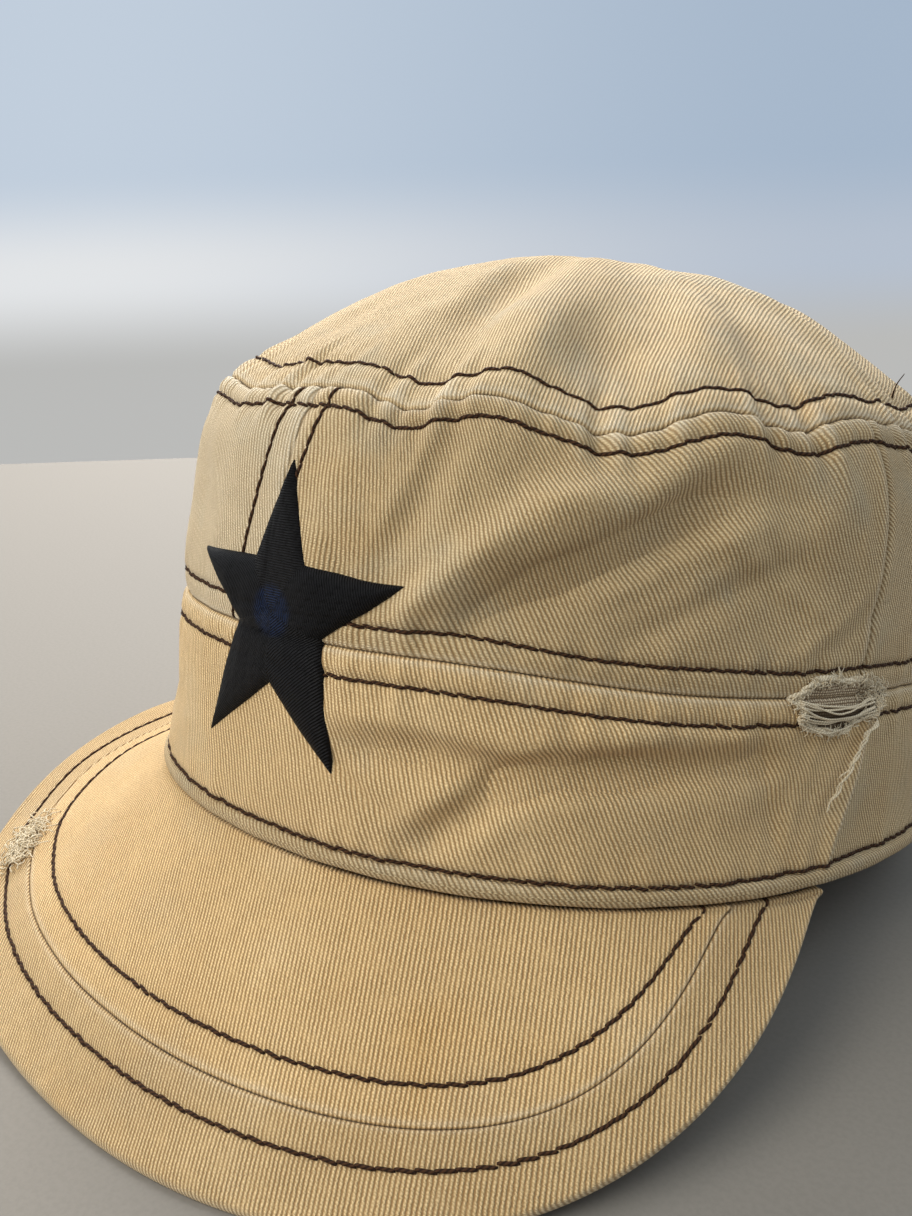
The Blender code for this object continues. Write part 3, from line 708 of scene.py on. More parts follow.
def add_tubes(name, centres, radius, sides):
    """Makes one object of many closed tubes. centres has one row of points for each tube, and radius fits it.

    Each ring stands square to its tube's line, and a flat face closes each end.
    """
    tubes, rings = centres.shape[:2]
    along = unit(np.gradient(centres, axis=1))
    side = unit(np.cross(along, unit(np.array([0.31, -0.22, 0.93]))))
    other = np.cross(along, side)
    turn = np.arange(sides) * (TURN / sides)
    ring = side[:, :, None] * np.cos(turn)[:, None] + other[:, :, None] * np.sin(turn)[:, None]
    points = centres[:, :, None] + ring * radius[..., None, None]
    number = np.arange(tubes * rings * sides).reshape(tubes, rings, sides)
    wrapped = np.concatenate([number, number[:, :, :1]], axis=2)
    run = lengths(centres, 1)
    flat = np.stack(np.broadcast_arrays(run[:, :, None], np.arange(sides + 1) / sides), axis=-1)
    quads = [wrapped[:, :-1, :-1], wrapped[:, :-1, 1:], wrapped[:, 1:, 1:], wrapped[:, 1:, :-1]]
    spots = [flat[:, :-1, :-1], flat[:, :-1, 1:], flat[:, 1:, 1:], flat[:, 1:, :-1]]
    corners = [np.stack(quads, axis=-1).reshape(-1, 4), number[:, 0, ::-1], number[:, -1]]
    places = [np.stack(spots, axis=-2).reshape(-1, 4, 2), flat[:, 0, :-1], flat[:, -1, :-1]]
    return add_mesh(name, points.reshape(-1, 3), corners, places)


class Value:
    """A number that a shader works out. Ordinary arithmetic on it adds Math nodes."""

    def __init__(self, finish, socket):
        self.finish = finish
        self.socket = socket

    def math(self, operation, *others):
        made = self.finish.node("ShaderNodeMath", {"operation": operation}, dict(enumerate((self, *others))))
        return Value(self.finish, made.outputs[0])

    def __add__(self, other):
        return self.math("ADD", other)

    def __sub__(self, other):
        return self.math("SUBTRACT", other)

    def __rsub__(self, other):
        return self.math("MULTIPLY_ADD", -1.0, other)

    def __mul__(self, other):
        return self.math("MULTIPLY", other)

    def __truediv__(self, other):
        return self.math("DIVIDE", other)

    def __pow__(self, other):
        return self.math("POWER", other)

    __radd__ = __add__
    __rmul__ = __mul__

    def wave(self):
        """Gives a smooth wave from 0 to 1 with one crest for each whole number."""
        return (self * TURN).math("COSINE") * 0.5 + 0.5

    def clamped(self, low, high):
        """Gives how far the number has gone from low to high, from 0 to 1."""
        settings = {"interpolation_type": "SMOOTHSTEP"}
        sockets = {"Value": self, "From Min": low, "From Max": high}
        made = self.finish.node("ShaderNodeMapRange", settings, sockets)
        return Value(self.finish, made.outputs["Result"])


class Finish:
    """Builds the nodes of one material."""

    def __init__(self, name):
        self.material = bpy.data.materials.new(name)
        self.material.use_nodes = True
        self.tree = self.material.node_tree
        self.tree.nodes.clear()

    def node(self, kind, settings, sockets):
        """Adds a node, sets it, and then gives its sockets their values or links."""
        made = self.tree.nodes.new(kind)
        for name, value in settings.items():
            setattr(made, name, value)
        for name, value in sockets.items():
            value = value.socket if isinstance(value, Value) else value
            if isinstance(value, bpy.types.NodeSocket):
                self.tree.links.new(value, made.inputs[name])
            else:
                made.inputs[name].default_value = value
        return made

    def value(self, kind, settings, sockets, output=0):
        """Adds a node and gives one of its outputs as a value."""
        return Value(self, self.node(kind, settings, sockets).outputs[output])

    def noise(self, place, scale, detail=2.0, roughness=0.5):
        """Gives a soft random pattern from 0 to 1 over places, with so many lumps for each metre."""
        sockets = {"Vector": place, "Scale": scale, "Detail": detail, "Roughness": roughness}
        return self.value("ShaderNodeTexNoise", {}, sockets)

    def mix(self, share, first, second):
        """Mixes two colours, and gives the second where share is 1."""
        made = self.node("ShaderNodeMix", {"data_type": "RGBA"}, {0: share})
        for number, colour in ((6, first), (7, second)):
            if isinstance(colour, bpy.types.NodeSocket):
                self.tree.links.new(colour, made.inputs[number])
            else:
                made.inputs[number].default_value = (*colour, 1.0)
        return made.outputs[2]

    def surface(self, sockets, height=None, depth=0.0):
        """Ends the material in one shader, with a bump of a depth in metres where a height is given."""
        if height is not None:
            bump = self.node("ShaderNodeBump", {}, {"Height": height, "Distance": depth, "Strength": 1.0})
            sockets = {**sockets, "Normal": bump.outputs["Normal"]}
        shader = self.node("ShaderNodeBsdfPrincipled", {}, sockets)
        self.node("ShaderNodeOutputMaterial", {}, {"Surface": shader.outputs["BSDF"]})
        return self.material


def cloth_finish(name):
    """Begins a material on the flat cut of its piece. Gives it, the flat place and the place's two values."""
    finish = Finish(name)
    flat = finish.node("ShaderNodeUVMap", {"uv_map": "cloth"}, {}).outputs["UV"]
    split = finish.node("ShaderNodeSeparateXYZ", {}, {"Vector": flat})
    return finish, flat, Value(finish, split.outputs[0]), Value(finish, split.outputs[1])


def twill(name, look, turn, warmth=0.0, painted_paleness=0.0, painted_light=1.0, wander=0.7):
    """Makes washed cotton twill: slanting ribs of twisted yarn, pale on their crests and brown between them.

    The ribs are waves over the flat cut of the cloth, bent a little by noise. A second wave along each rib
    shows its yarns. Broad noise fades and stains the cloth, and the attribute pales it where it is rubbed,
    and darkens it in its seam lines and with painted shade under the stitches. Two numbers for each panel
    paint the light on it: a paleness, and a brightness that scales its colours.
    """

    def lit(*colour):
        """Gives a colour scaled by the panel's painted brightness, which stands in for the light on it."""
        return tuple(part * painted_light for part in colour)

    def shaded(grooves, crests):
        """Gives the colours of the grooves and crests where the cloth's height asks for them."""
        return finish.mix(tone, lit(*grooves), lit(*crests))

    finish, flat, x, y = cloth_finish(name)
    bend = finish.noise(flat, 70.0, 2.0) - 0.5
    jitter = finish.noise(flat, 1000.0, 2.0) - 0.5
    cosine, sine = math.cos(math.radians(turn)), math.sin(math.radians(turn))
    size = look.rib_pitch
    rib = (x * (cosine / size) + y * (sine / size)) + bend * wander + jitter * 0.42
    along = (y * cosine - x * sine) / look.yarn_pitch
    crest = rib.wave() ** 0.8
    yarn = (along + rib * 1.0 + jitter * 0.8).wave()
    fuzz = finish.noise(flat, 3600.0, 2.0, 0.6)
    clear = finish.noise(flat, 260.0, 3.0, 0.6).clamped(0.25, 0.60) * 0.45 + 0.55
    height = (crest * (yarn * 0.42 + 0.58) - 0.42) * clear + 0.42 + (fuzz - 0.5) * 0.60
    # Above zero the attribute marks rubbed, pale cloth; below zero, dark seam lines and painted shade
    wear_and_shade_level = finish.value("ShaderNodeAttribute", {"attribute_name": "wear_and_shade"}, {}, "Fac")
    fade = finish.noise(flat, 28.0, 4.0, 0.55)
    stain = finish.noise(flat, 17.0, 3.0, 0.6).clamped(0.56, 0.78)
    grey = finish.noise(flat, 41.0, 3.0, 0.6).clamped(0.50, 0.72)
    tone = (height + (fade - 0.5) * 0.34).clamped(0.0, 1.0)
    ribbed = shaded(look.groove_colour, look.rib_colour)
    cool = finish.mix(grey * 0.42, ribbed, shaded(*GREYED))
    warm = finish.mix(stain * 0.45 + warmth, cool, shaded(*STAINED))
    pale = shaded(*BLEACHED_AND_LIT)
    # A painted paleness of light, rubbed places and random fading bleach the cloth
    bleach_and_painted_light = wear_and_shade_level.clamped(0.0, 1.0) * 0.65 + (fade - 0.5).clamped(0.05, 0.35) * 0.25 + painted_paleness
    bleached_and_lit = finish.mix(bleach_and_painted_light, warm, pale)
    # Dark seam lines, and painted shade under the stitches, darken the cloth
    darkened_and_shaded = finish.mix((wear_and_shade_level * -1.0).clamped(0.0, 1.0) * 0.8, bleached_and_lit, DARK_LINES_AND_SHADE)
    sockets = {"Base Color": darkened_and_shaded, "Roughness": 0.92, "Specular IOR Level": 0.2, "Sheen Weight": 0.12}
    sockets["Sheen Roughness"] = 0.5
    return finish.surface(sockets, height, look.rib_depth)


def twisted_thread(name, dark, light, depth, turns=900.0, roughness=0.8):
    """Makes spun thread: slanting plies that run round it as a wave over its length and round it."""
    finish, flat, run, round_it = cloth_finish(name)
    ply = (run * turns + round_it * 2.0).wave()
    fibre = finish.noise(flat, 3000.0, 2.0, 0.6)
    height = ply * 0.75 + fibre * 0.5
    sockets = {"Base Color": finish.mix(height.clamped(0.1, 1.1), dark, light), "Roughness": roughness}
    sockets["Specular IOR Level"] = 0.2
    return finish.surface(sockets, height, depth)


def satin_stitch(name, look):
    """Makes satin stitch: fine parallel threads across each arm, with a small blue middle."""
    finish, flat, run, across = cloth_finish(name)
    jitter = finish.noise(flat, 900.0, 2.0) - 0.5
    thread = (run / look.thread_pitch + jitter * 0.5).wave()
    turn_in = (across / 0.0031 + (run / 0.0017).math("FLOOR") * 0.37).wave() ** 6.0
    fibre = finish.noise(flat, 5200.0, 2.0, 0.6)
    height = thread * 0.8 + fibre * 0.35 - turn_in * 0.35
    middle = finish.value("ShaderNodeAttribute", {"attribute_name": "wear_and_shade"}, {}, "Fac")
    black = finish.mix(height.clamped(0.0, 1.1), (0.0015, 0.0015, 0.002), tuple(look.thread_colour))
    blue = finish.mix(height.clamped(0.0, 1.1), (0.002, 0.003, 0.008), tuple(look.accent_colour))
    sockets = {"Base Color": finish.mix(middle, black, blue), "Roughness": 0.6, "Specular IOR Level": 0.16}
    return finish.surface(sockets, height, 0.00028)


def plain_weave(name):
    """Makes a loosely woven tape: two crossing sets of round threads over and under each other."""
    finish, flat, x, y = cloth_finish(name)
    bend = finish.noise(flat, 260.0, 2.0) - 0.5
    warp, weft = x / 0.00062 + bend * 0.8, y / 0.00062 + bend * 0.6
    over = ((warp * 0.5).wave() - 0.5) * ((weft * 0.5).wave() - 0.5) * 4.0
    height = (warp.wave() ** 0.5) * (weft.wave() ** 0.5) + over * 0.25 + finish.noise(flat, 5000.0) * 0.2
    colour = finish.mix(height.clamped(0.15, 1.0), (0.24, 0.165, 0.095), (0.90, 0.75, 0.54))
    # Painted shade from the attribute darkens the tape where the hole behind it lies in shade
    shade = finish.value("ShaderNodeAttribute", {"attribute_name": "wear_and_shade"}, {}, "Fac")
    colour = finish.mix(shade * 0.85, colour, (0.09, 0.055, 0.030))
    sockets = {"Base Color": colour, "Roughness": 0.95, "Specular IOR Level": 0.2}
    return finish.surface(sockets, height, 0.0003)


def plaster(name, base, other, scale, depth):
    """Makes a plain matt surface with faint speckles, for the table."""
    finish = Finish(name)
    place = finish.node("ShaderNodeTexCoord", {}, {}).outputs["Object"]
    speckle = finish.noise(place, scale, 4.0, 0.6)
    colour = finish.mix(speckle.clamped(0.35, 0.7), base, other)
    sockets = {"Base Color": colour, "Roughness": 0.75, "Specular IOR Level": 0.25}
    return finish.surface(sockets, speckle, depth)


def glowing_wall(name, colour):
    """Makes a wall that glows with painted light instead of being lit: grey low down, a pale band at the
    height of the table, and a bluer colour above it."""
    finish = Finish(name)
    place = finish.node("ShaderNodeTexCoord", {}, {}).outputs["Object"]
    split = finish.node("ShaderNodeSeparateXYZ", {}, {"Vector": place})
    across, height = Value(finish, split.outputs[0]), Value(finish, split.outputs[2])
    side = (across + 1.2).clamped(-0.35, 0.50)
    band = finish.mix(side, (0.73, 0.745, 0.76), (0.43, 0.49, 0.58))
    low = finish.mix(height.clamped(-0.05, 0.085), (0.456, 0.456, 0.445), band)
    high = finish.mix(side, colour, (0.35, 0.44, 0.56))
    glow = finish.mix(height.clamped(0.095, 0.24), low, high)
    sockets = {"Base Color": (0.05, 0.05, 0.05, 1.0), "Roughness": 0.9, "Emission Color": glow}
    sockets["Emission Strength"] = 1.0
    return finish.surface(sockets)


def prop(kind, name, description, default, **settings):
    """Gives one property with its name, description and default."""
    return kind(name=name, description=description, default=default, **settings)


def colour_prop(name, description, default):
    """Gives a colour property."""
    settings = {"size": 3, "subtype": "COLOR", "min": 0.0, "max": 1.0}
    return prop(bpy.props.FloatVectorProperty, name, description, default, **settings)


def number_prop(name, description, default, **settings):
    """Gives a number property."""
    return prop(bpy.props.FloatProperty, name, description, default, **settings)


def length_prop(name, description, default):
    """Gives a length property."""
    return number_prop(name, description, default, unit="LENGTH", precision=5)


class ClothLook(bpy.types.PropertyGroup):
    """Sizes and colours of the twill."""

    rib_pitch: length_prop("Rib pitch", "Distance from one rib of the twill to the next", 0.00083)
    yarn_pitch: length_prop("Yarn pitch", "Distance from one yarn to the next along a rib", 0.00058)
    rib_depth: length_prop("Rib depth", "Depth of the grooves between the ribs", 0.00027)
    rib_colour: colour_prop("Rib colour", "Colour of the ribs' crests", (0.79, 0.625, 0.370))
    groove_colour: colour_prop("Groove colour", "Colour between the ribs", (0.30, 0.190, 0.085))


class StitchLook(bpy.types.PropertyGroup):
    """Sizes and colours of the topstitches."""

    length: length_prop("Length", "Length of a stitch", 0.00345)
    pitch: length_prop("Pitch", "Distance from one stitch to the next", 0.0032)
    radius: length_prop("Radius", "Radius of the thread", 0.00036)
    dark_colour: colour_prop("Dark colour", "Colour of the thread between its plies", (0.014, 0.006, 0.003))
    light_colour: colour_prop("Light colour", "Colour of the thread's plies", (0.078, 0.034, 0.015))


class StarLook(bpy.types.PropertyGroup):
    """Sizes and colours of the embroidered star."""

    radius: length_prop("Radius", "Distance from the star's middle to its tips", 0.0315)
    raise_by: length_prop("Height", "How far the stitches stand up from the cloth", 0.0013)
    above_seam: length_prop("Above seam", "Height of the star's middle above the middle seam", 0.0050)
    place: number_prop("Place", "Place round the crown, from the front", math.radians(4.0), subtype="ANGLE")
    thread_pitch: length_prop("Thread pitch", "Distance between the satin stitches", 0.00052)
    thread_colour: colour_prop("Thread colour", "Colour of the satin stitches", (0.008, 0.008, 0.010))
    accent_colour: colour_prop("Middle colour", "Colour of the star's middle", (0.008, 0.019, 0.060))


class StageLook(bpy.types.PropertyGroup):
    """Strength and colours of the setting."""

    key_power: number_prop("Key light", "Power of the light from the left", 5.5, unit="POWER")
    side_power: number_prop("Side light", "Power of the light in front", 9.0, unit="POWER")
    right_power: number_prop("Right light", "Power of the light on the right", 4.4, unit="POWER")
    back_power: number_prop("Back light", "Power of the light behind", 26.0, unit="POWER")
    air: number_prop("Air light", "Strength of the light from all round", 0.38)
    table_colour: colour_prop("Table", "Colour of the table", (0.23, 0.212, 0.187))
    wall_colour: colour_prop("Wall", "Colour of the glow on the wall, high up", (0.50, 0.58, 0.68))


def dress(made, material, slot, *nodes):
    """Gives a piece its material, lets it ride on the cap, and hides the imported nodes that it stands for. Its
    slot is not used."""
    made.data.materials.append(material)
    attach(made, "root")
    if nodes:
        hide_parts(*nodes)
    return made


def sew_in(outer, closed):
    """Takes the steps along both sides of the grid of a panel's outer face, with its first column again at the
    end when it runs round, and does nothing more with them.
    """
    grid = np.concatenate([outer, outer[:1]]) if closed else outer
    one, two = grid[1:, :-1] - grid[:-1, :-1], grid[:-1, 1:] - grid[:-1, :-1]


def panel(name, look, start, end, low, high, columns, rows, turn, tint_and_light, fan=(0.0, 0.0, 1.0)):
    """Makes one panel of the side between two slanted seams, in degrees, and two stations with distances.

    The values after the turn give the cloth's warmth and two numbers of painted light, a paleness and a
    brightness. fan shears the ribs of the cloth: by its first value before its second value in degrees,
    and fading to its third.
    """
    across, up = np.meshgrid(np.linspace(0.0, 1.0, columns + 1), crowded(rows, 0.55), indexing="ij")
    gap = PANEL_GAP / TOP_HALF_WIDTH
    first = np.radians(slanted(start, up)) + gap
    last = np.radians(slanted(end, up)) - gap
    angle = first + (last - first) * across
    height = LOWER_BAND_HEIGHT if high[0] < 1.5 else UPPER_BAND_HEIGHT
    station = (low[0] + low[1] / height) * (1.0 - up) + (high[0] - high[1] / height) * up
    outer, out = crown_cloth(angle, station)
    base = crown(angle, station)
    inner = base - out * CLOTH_THICKNESS
    flat = unrolled(base)
    part = np.clip((fan[2] - turned_apart(angle, 0.0)) / (fan[2] - fan[1]), 0.0, 1.0)
    flat[..., 0] += (flat[..., 1] - 0.012) * fan[0] * part * part * (3.0 - 2.0 * part)
    made = add_wall("cloth_" + name, laid(outer), laid(inner), False, flat, crown_wear_and_shade(angle, station))
    # The painted paleness and brightness stand in for the light that falls on this panel
    dress(made, twill(name + "_twill", look, turn, *tint_and_light), name + "_cloth", name)
    return made, outer


class BuildTop(bpy.types.Operator):
    """Builds the domed top panel: a polar grid over the dome, with dents, puckers and pressed seams."""

    bl_idname = "cap.build_top"
    bl_label = "Top panel"

    def execute(self, context):
        angle = np.linspace(0.0, TURN, 421)[:-1]
        share = np.linspace(0.0, 1.0, 77)
        station = 2.0 + PANEL_GAP / TOP_RUN + (1.0 - PANEL_GAP / TOP_RUN) * share**1.15
        angle, station = np.meshgrid(angle, station, indexing="ij")
        outer, out = crown_cloth(angle, station)
        base = crown(angle, station)
        inner = base - out * CLOTH_THICKNESS
        reach = lengths(base, 1)
        reach = (reach[:, -1:] - reach)[..., None]
        flat = reach * np.stack([np.sin(angle), -np.cos(angle)], axis=-1)
        flat = np.concatenate([flat, flat[:1]])
        made = add_wall("cloth_crown_top", laid(outer), laid(inner), True, flat, crown_wear_and_shade(angle, station))
        # After the rib turn: warmth, and a paleness and a brightness of painted light
        material = twill("crown_top_twill", context.scene.cap_cloth, 35.0, 0.0, 0.08, 1.10)
        dress(made, material, "crown_top_cloth", "crown_top")
        sew_in(outer, True)
        return {"FINISHED"}


class BuildSides(bpy.types.Operator):
    """Builds the five panels of the two side bands."""

    bl_idname = "cap.build_sides"
    bl_label = "Side bands"

    def execute(self, context):
        look = context.scene.cap_cloth
        middle, top, hem = (1.0, PANEL_GAP), (2.0, PANEL_GAP), (0.0, HEM_HEIGHT - 0.0002)
        front, left, slant_left = FRONT_SEAM, SIDE_SEAM, LOWER_SEAM
        right, slant_right = ((-seam[0], -seam[1]) for seam in (left, slant_left))
        back, slant_back = ((360.0 - seam[0], 360.0 - seam[1]) for seam in (left, slant_left))
        # Each panel's warmth, then the paleness and brightness of its painted light, and the shear of its ribs
        left_tint_and_light, left_fan = (0.05, 0.0, 1.03), (-0.51, 13.0, 36.0)
        front_tint_and_light, front_fan = (0.34, 0.0, 1.24), (-0.20, 8.0, 40.0)
        panels = (
            ("upper_side_left", front, left, middle, top, 220, 110, 33.0, left_tint_and_light, left_fan),
            ("upper_side_right", right, front, middle, top, 150, 96, 15.0, (0.0, 0.45, 1.04)),
            ("upper_side_back", left, back, middle, top, 300, 84, 25.0, (0.0, 0.10, 1.04)),
            ("lower_band_front", slant_right, slant_left, hem, middle, 380, 90, 29.0, front_tint_and_light, front_fan),
            ("lower_band_back", slant_left, slant_back, hem, middle, 300, 64, 25.0, (0.0, 0.0, 1.08)),
        )
        for name, *settings in panels:
            made, outer = panel(name, look, *settings)
            sew_in(outer, False)
        return {"FINISHED"}


class BuildHem(bpy.types.Operator):
    """Builds the rolled hem: a rounded oval carried round the rim, with slanting ridges where the cloth is
    twisted."""

    bl_idname = "cap.build_hem"
    bl_label = "Hem"

    def execute(self, context):
        angle = np.linspace(0.0, TURN, 641)[:-1]
        turn = np.linspace(0.0, TURN, 25)
        angle, turn = np.meshgrid(angle, turn, indexing="ij")
        middle = np.full_like(angle, HEM_HEIGHT / 2.0 / LOWER_BAND_HEIGHT)
        out = wall_direction(angle, middle * 0.0)
        foot = crown(angle, middle)
        half_depth = (HEM_THICKNESS + HEM_ROLL) / 2.0
        cosine, sine = np.cos(turn), np.sin(turn)
        square = (np.abs(cosine) ** 3.0 + np.abs(sine) ** 3.0) ** (-1.0 / 3.0)
        ridge = 1.0 + 0.02 * np.sin(angle * 178.0 + turn) + 0.05 * ripples(foot, 0.012, 11)
        depth = (HEM_ROLL - half_depth) + half_depth * cosine * square * ridge
        rise = HEM_HEIGHT / 2.0 * sine * square * (1.0 + 0.06 * ripples(foot, 0.018, 12))
        rise = rise * np.where(sine < 0.0, 0.84, 1.0)
        points = foot + out * depth[..., None] + UP * rise[..., None]
        run = lengths(foot, 0)
        flat = np.stack([run, turn / TURN * HEM_PATTERN], axis=-1)
        flat = np.concatenate([flat, flat[:1] + np.array([run[-1, 0] + run[1, 0], 0.0])])
        wear_and_shade = 0.35 * bell(turn - 0.6, 0.5) * np.clip(0.6 + ripples(foot, 0.02, 13), 0.0, 1.0)
        wear_and_shade = np.concatenate([wear_and_shade[:, :-1], wear_and_shade[:, :1]], axis=1)
        points = laid(points)
        points[:, -1] = points[:, 0]
        columns, rows = points.shape[:2]
        number = np.arange(columns * rows).reshape(columns, rows)[np.arange(columns + 1) % columns]
        made = add_mesh("cloth_hem_band", points.reshape(-1, 3), [cells(number)], [cells(flat)], wear_and_shade)
        # After the rib turn: warmth, and a paleness and a brightness of painted light
        material = twill("hem_twill", context.scene.cap_cloth, 38.0, 0.0, 0.0, 0.93)
        dress(made, material, "hem_band_cloth", "hem_band")
        return {"FINISHED"}


def peak_relief(points, angle, reach, seam):
    """Gives the fine relief of the peak: a groove on its seam, a valley under each row of stitches and soft
    waves."""
    relief = ripples(points, 0.034, 21) * 0.00030 + ripples(points, 0.010, 22) * 0.00007
    relief = relief + 0.00010 * bell(seam - 0.0030, 0.0022) - 0.0004 * bell(seam, 0.00040)
    for row in PEAK_ROWS:
        away = reach - peak_reach(angle, *row)
        relief = relief - 0.00032 * bell(away, 0.0009)
    return relief


def cone_flat(angle, reach):
    """Gives where a point of the peak lay on its flat cut, which is a part of a ring, as an unrolled cone
    is."""
    spread = math.cos(math.radians(PEAK_SLOPE))
    out = (RIM_HALF_LENGTH + RIM_HALF_WIDTH) / 2.0 / spread + reach
    return np.stack([out * np.sin(angle * spread), -out * np.cos(angle * spread)], axis=-1)


def seam_line(share, aside):
    """Gives the angles and reaches of the seam between the peak's panel and its border."""
    return peak_line(share, *PEAK_SEAM, aside)


def tucked(share, reach):
    """Pulls the ends of a line on the peak back under the hem."""
    pulled = np.clip((np.abs(share) - PEAK_TUCK_START) / (1.0 - PEAK_TUCK_START), 0.0, 1.0)
    return reach - PEAK_TUCK * pulled**1.5


class BuildPeak(bpy.types.Operator):
    """Builds the stiff peak: its inner panel with a tongue under the hem, and its border with a rounded free
    edge."""

    bl_idname = "cap.build_peak"
    bl_label = "Peak"

    def execute(self, context):
        look = context.scene.cap_cloth
        share = np.linspace(-1.0, 1.0, 301)
        seam = seam_line(share, -PANEL_GAP)
        up = np.concatenate([[-1.0], crowded(56, 0.4)])
        angle = seam[0][:, None] * np.ones_like(up)
        reach = np.where(up < 0.0, -PEAK_TONGUE, seam[1][:, None] * np.maximum(up, 0.0))
        base = peak(angle, reach)
        out = peak_facing(angle, reach)
        relief = peak_relief(base, angle, reach, seam[1][:, None] - reach) * np.clip(reach / 0.003, 0.0, 1.0)
        outer = base + out * relief[..., None]
        inner = base - out * PEAK_THICKNESS
        wear_and_shade = seam_wear_and_shade(seam[1][:, None] - reach, 1.0, 0.7)
        # Painted shade along the panel's row of stitches
        wear_and_shade = wear_and_shade - 0.3 * bell(reach - peak_reach(angle, *PEAK_ROWS[1]), 0.0008)
        flat = cone_flat(angle, reach)
        made = add_wall("cloth_peak_panel", laid(outer), laid(inner), False, flat, wear_and_shade)
        # After the rib turn: warmth, a paleness and a brightness of painted light, and the ribs' wander
        material = twill("peak_panel_twill", look, 34.0, 0.62, 0.0, 1.24, 0.15)
        dress(made, material, "peak_panel_cloth", "peak_panel")
        sew_in(outer, False)
        self.border(look)
        return {"FINISHED"}

    def border(self, look):
        """Carries a hairpin section from the seam over the free edge and back along the underside."""
        share = np.linspace(-1.0, 1.0, 401)
        low = seam_line(share, PANEL_GAP)
        high = peak_line(share, *PEAK_EDGE)
        nose = PEAK_THICKNESS / 2.0
        bend = np.linspace(0.0, math.pi, 11)[1:-1]
        over = crowded(34, 0.4)
        under = np.linspace(1.0, 0.0, 9)
        width = np.hypot((high[0] - low[0]) * (RIM_HALF_WIDTH + low[1]), high[1] - low[1])
        past = np.minimum(nose / np.maximum(width, 1e-6), 0.45)[:, None]
        nosed = 1.0 - past + past * np.sin(bend)
        run = np.concatenate([over * (1.0 - past), nosed, under * (1.0 - past)], axis=1)
        depth = np.concatenate([over * 0.0, -nose + nose * np.cos(bend), under * 0.0 - 2.0 * nose])
        depth = np.broadcast_to(depth, run.shape)
        angle = low[0][:, None] + (high[0] - low[0])[:, None] * run
        reach = tucked(share[:, None], low[1][:, None] + (high[1] - low[1])[:, None] * run)
        base = peak(angle, reach)
        out = peak_facing(angle, reach)
        away = run * width[:, None]
        relief = peak_relief(base, angle, reach, away) * (depth > -nose)
        relief = relief * np.clip((1.0 - run) * 6.0, 0.0, 1.0)
        points = base + out * (relief + depth)[..., None]
        edge = 0.50 * bell(width[:, None] * (1.0 - run), 0.0012) * (depth > -2.0 * nose)
        wear_and_shade = seam_wear_and_shade(away, 1.0, 0.6) + edge
        # Painted shade along the border's row of stitches
        wear_and_shade = wear_and_shade - 0.3 * bell(reach - peak_reach(angle, *PEAK_ROWS[0]), 0.0008)
        flat = cone_flat(angle, reach) + np.stack([run * 0.0, depth], axis=-1)
        columns, rows = points.shape[:2]
        number = np.arange(columns * rows).reshape(columns, rows)
        ends = [number[:1], number[-1:, ::-1]]
        wrapped = np.concatenate([number, number[:, :1]], axis=1)
        flat = np.concatenate([flat, flat[:, :1]], axis=1)
        corners, places = [cells(wrapped), *ends], [cells(flat), flat[:1, :-1], flat[-1:, -2::-1]]
        made = add_mesh("cloth_peak_border", laid(points).reshape(-1, 3), corners, places, wear_and_shade)
        # After the rib turn: warmth, a paleness and a brightness of painted light, and the ribs' wander
        material = twill("peak_border_twill", look, 34.0, 0.50, 0.0, 1.06, 0.15)
        dress(made, material, "peak_border_cloth", "peak_border")
        sew_in(points[:, :35], False)


def crown_row(first, last, low, high, drop):
    """Gives points and outward directions of a row of stitches between two angles in degrees and two
    stations."""
    share = np.linspace(0.0, 1.0, max(int(abs(last - first) * 4), 80))
    angle = np.radians(first + (last - first) * share)
    wander = ripples(np.stack([angle, angle * 0, angle * 0], -1), 0.5, 31)
    station = low + (high - low) * share + drop * wander
    return crown_cloth(angle, station)


def peak_row(row):
    """Gives points and outward directions of a row of stitches on the peak."""
    share = np.linspace(-1.0, 1.0, 900)
    angle, reach = peak_line(share, *row)
    reach = tucked(share, reach)
    keep = reach > -0.0022
    angle, reach = angle[keep], reach[keep]
    out = peak_facing(angle, reach)
    base = peak(angle, reach)
    away = np.abs(reach - peak_reach(angle, *PEAK_SEAM))
    return base + out * peak_relief(base, angle, reach, away)[..., None], out


def add_stitches(name, look, rows, seed):
    """Makes rows of long slightly slanting stitches, each a fat thread that rises from the cloth and dives
    back in."""
    centres, radii = [], []
    share = np.linspace(-1.0, 1.0, 8)
    for points, out in rows:
        run = lengths(points, 0)
        count = int(run[-1] / look.pitch)
        starts = (np.arange(count) + 0.5) * (run[-1] / count)
        draw = np.random.default_rng(seed)
        starts = starts + draw.uniform(-0.04, 0.04, len(starts)) * look.pitch
        size = draw.uniform(0.94, 1.06, len(starts))
        at = starts[:, None] + share * (look.length / 2.0) * size[:, None]
        place = np.stack([np.interp(at, run, points[:, axis]) for axis in range(3)], axis=-1)
        normal = unit(np.stack([np.interp(at, run, out[:, axis]) for axis in range(3)], axis=-1))
        side = np.cross(unit(np.gradient(place, axis=1)), normal)
        slant = draw.normal(0.12, 0.05, len(starts))[:, None] * share * look.length / 2.0
        rise = look.radius * (0.45 - 0.50 * np.abs(share) ** 3.0)
        centres.append(place + normal * rise[:, None] + side * slant[..., None])
        radii.append(look.radius * size[:, None] * (1.0 - 0.35 * np.abs(share) ** 4.0))
    return add_tubes(name, laid(np.concatenate(centres)), np.concatenate(radii), 7)


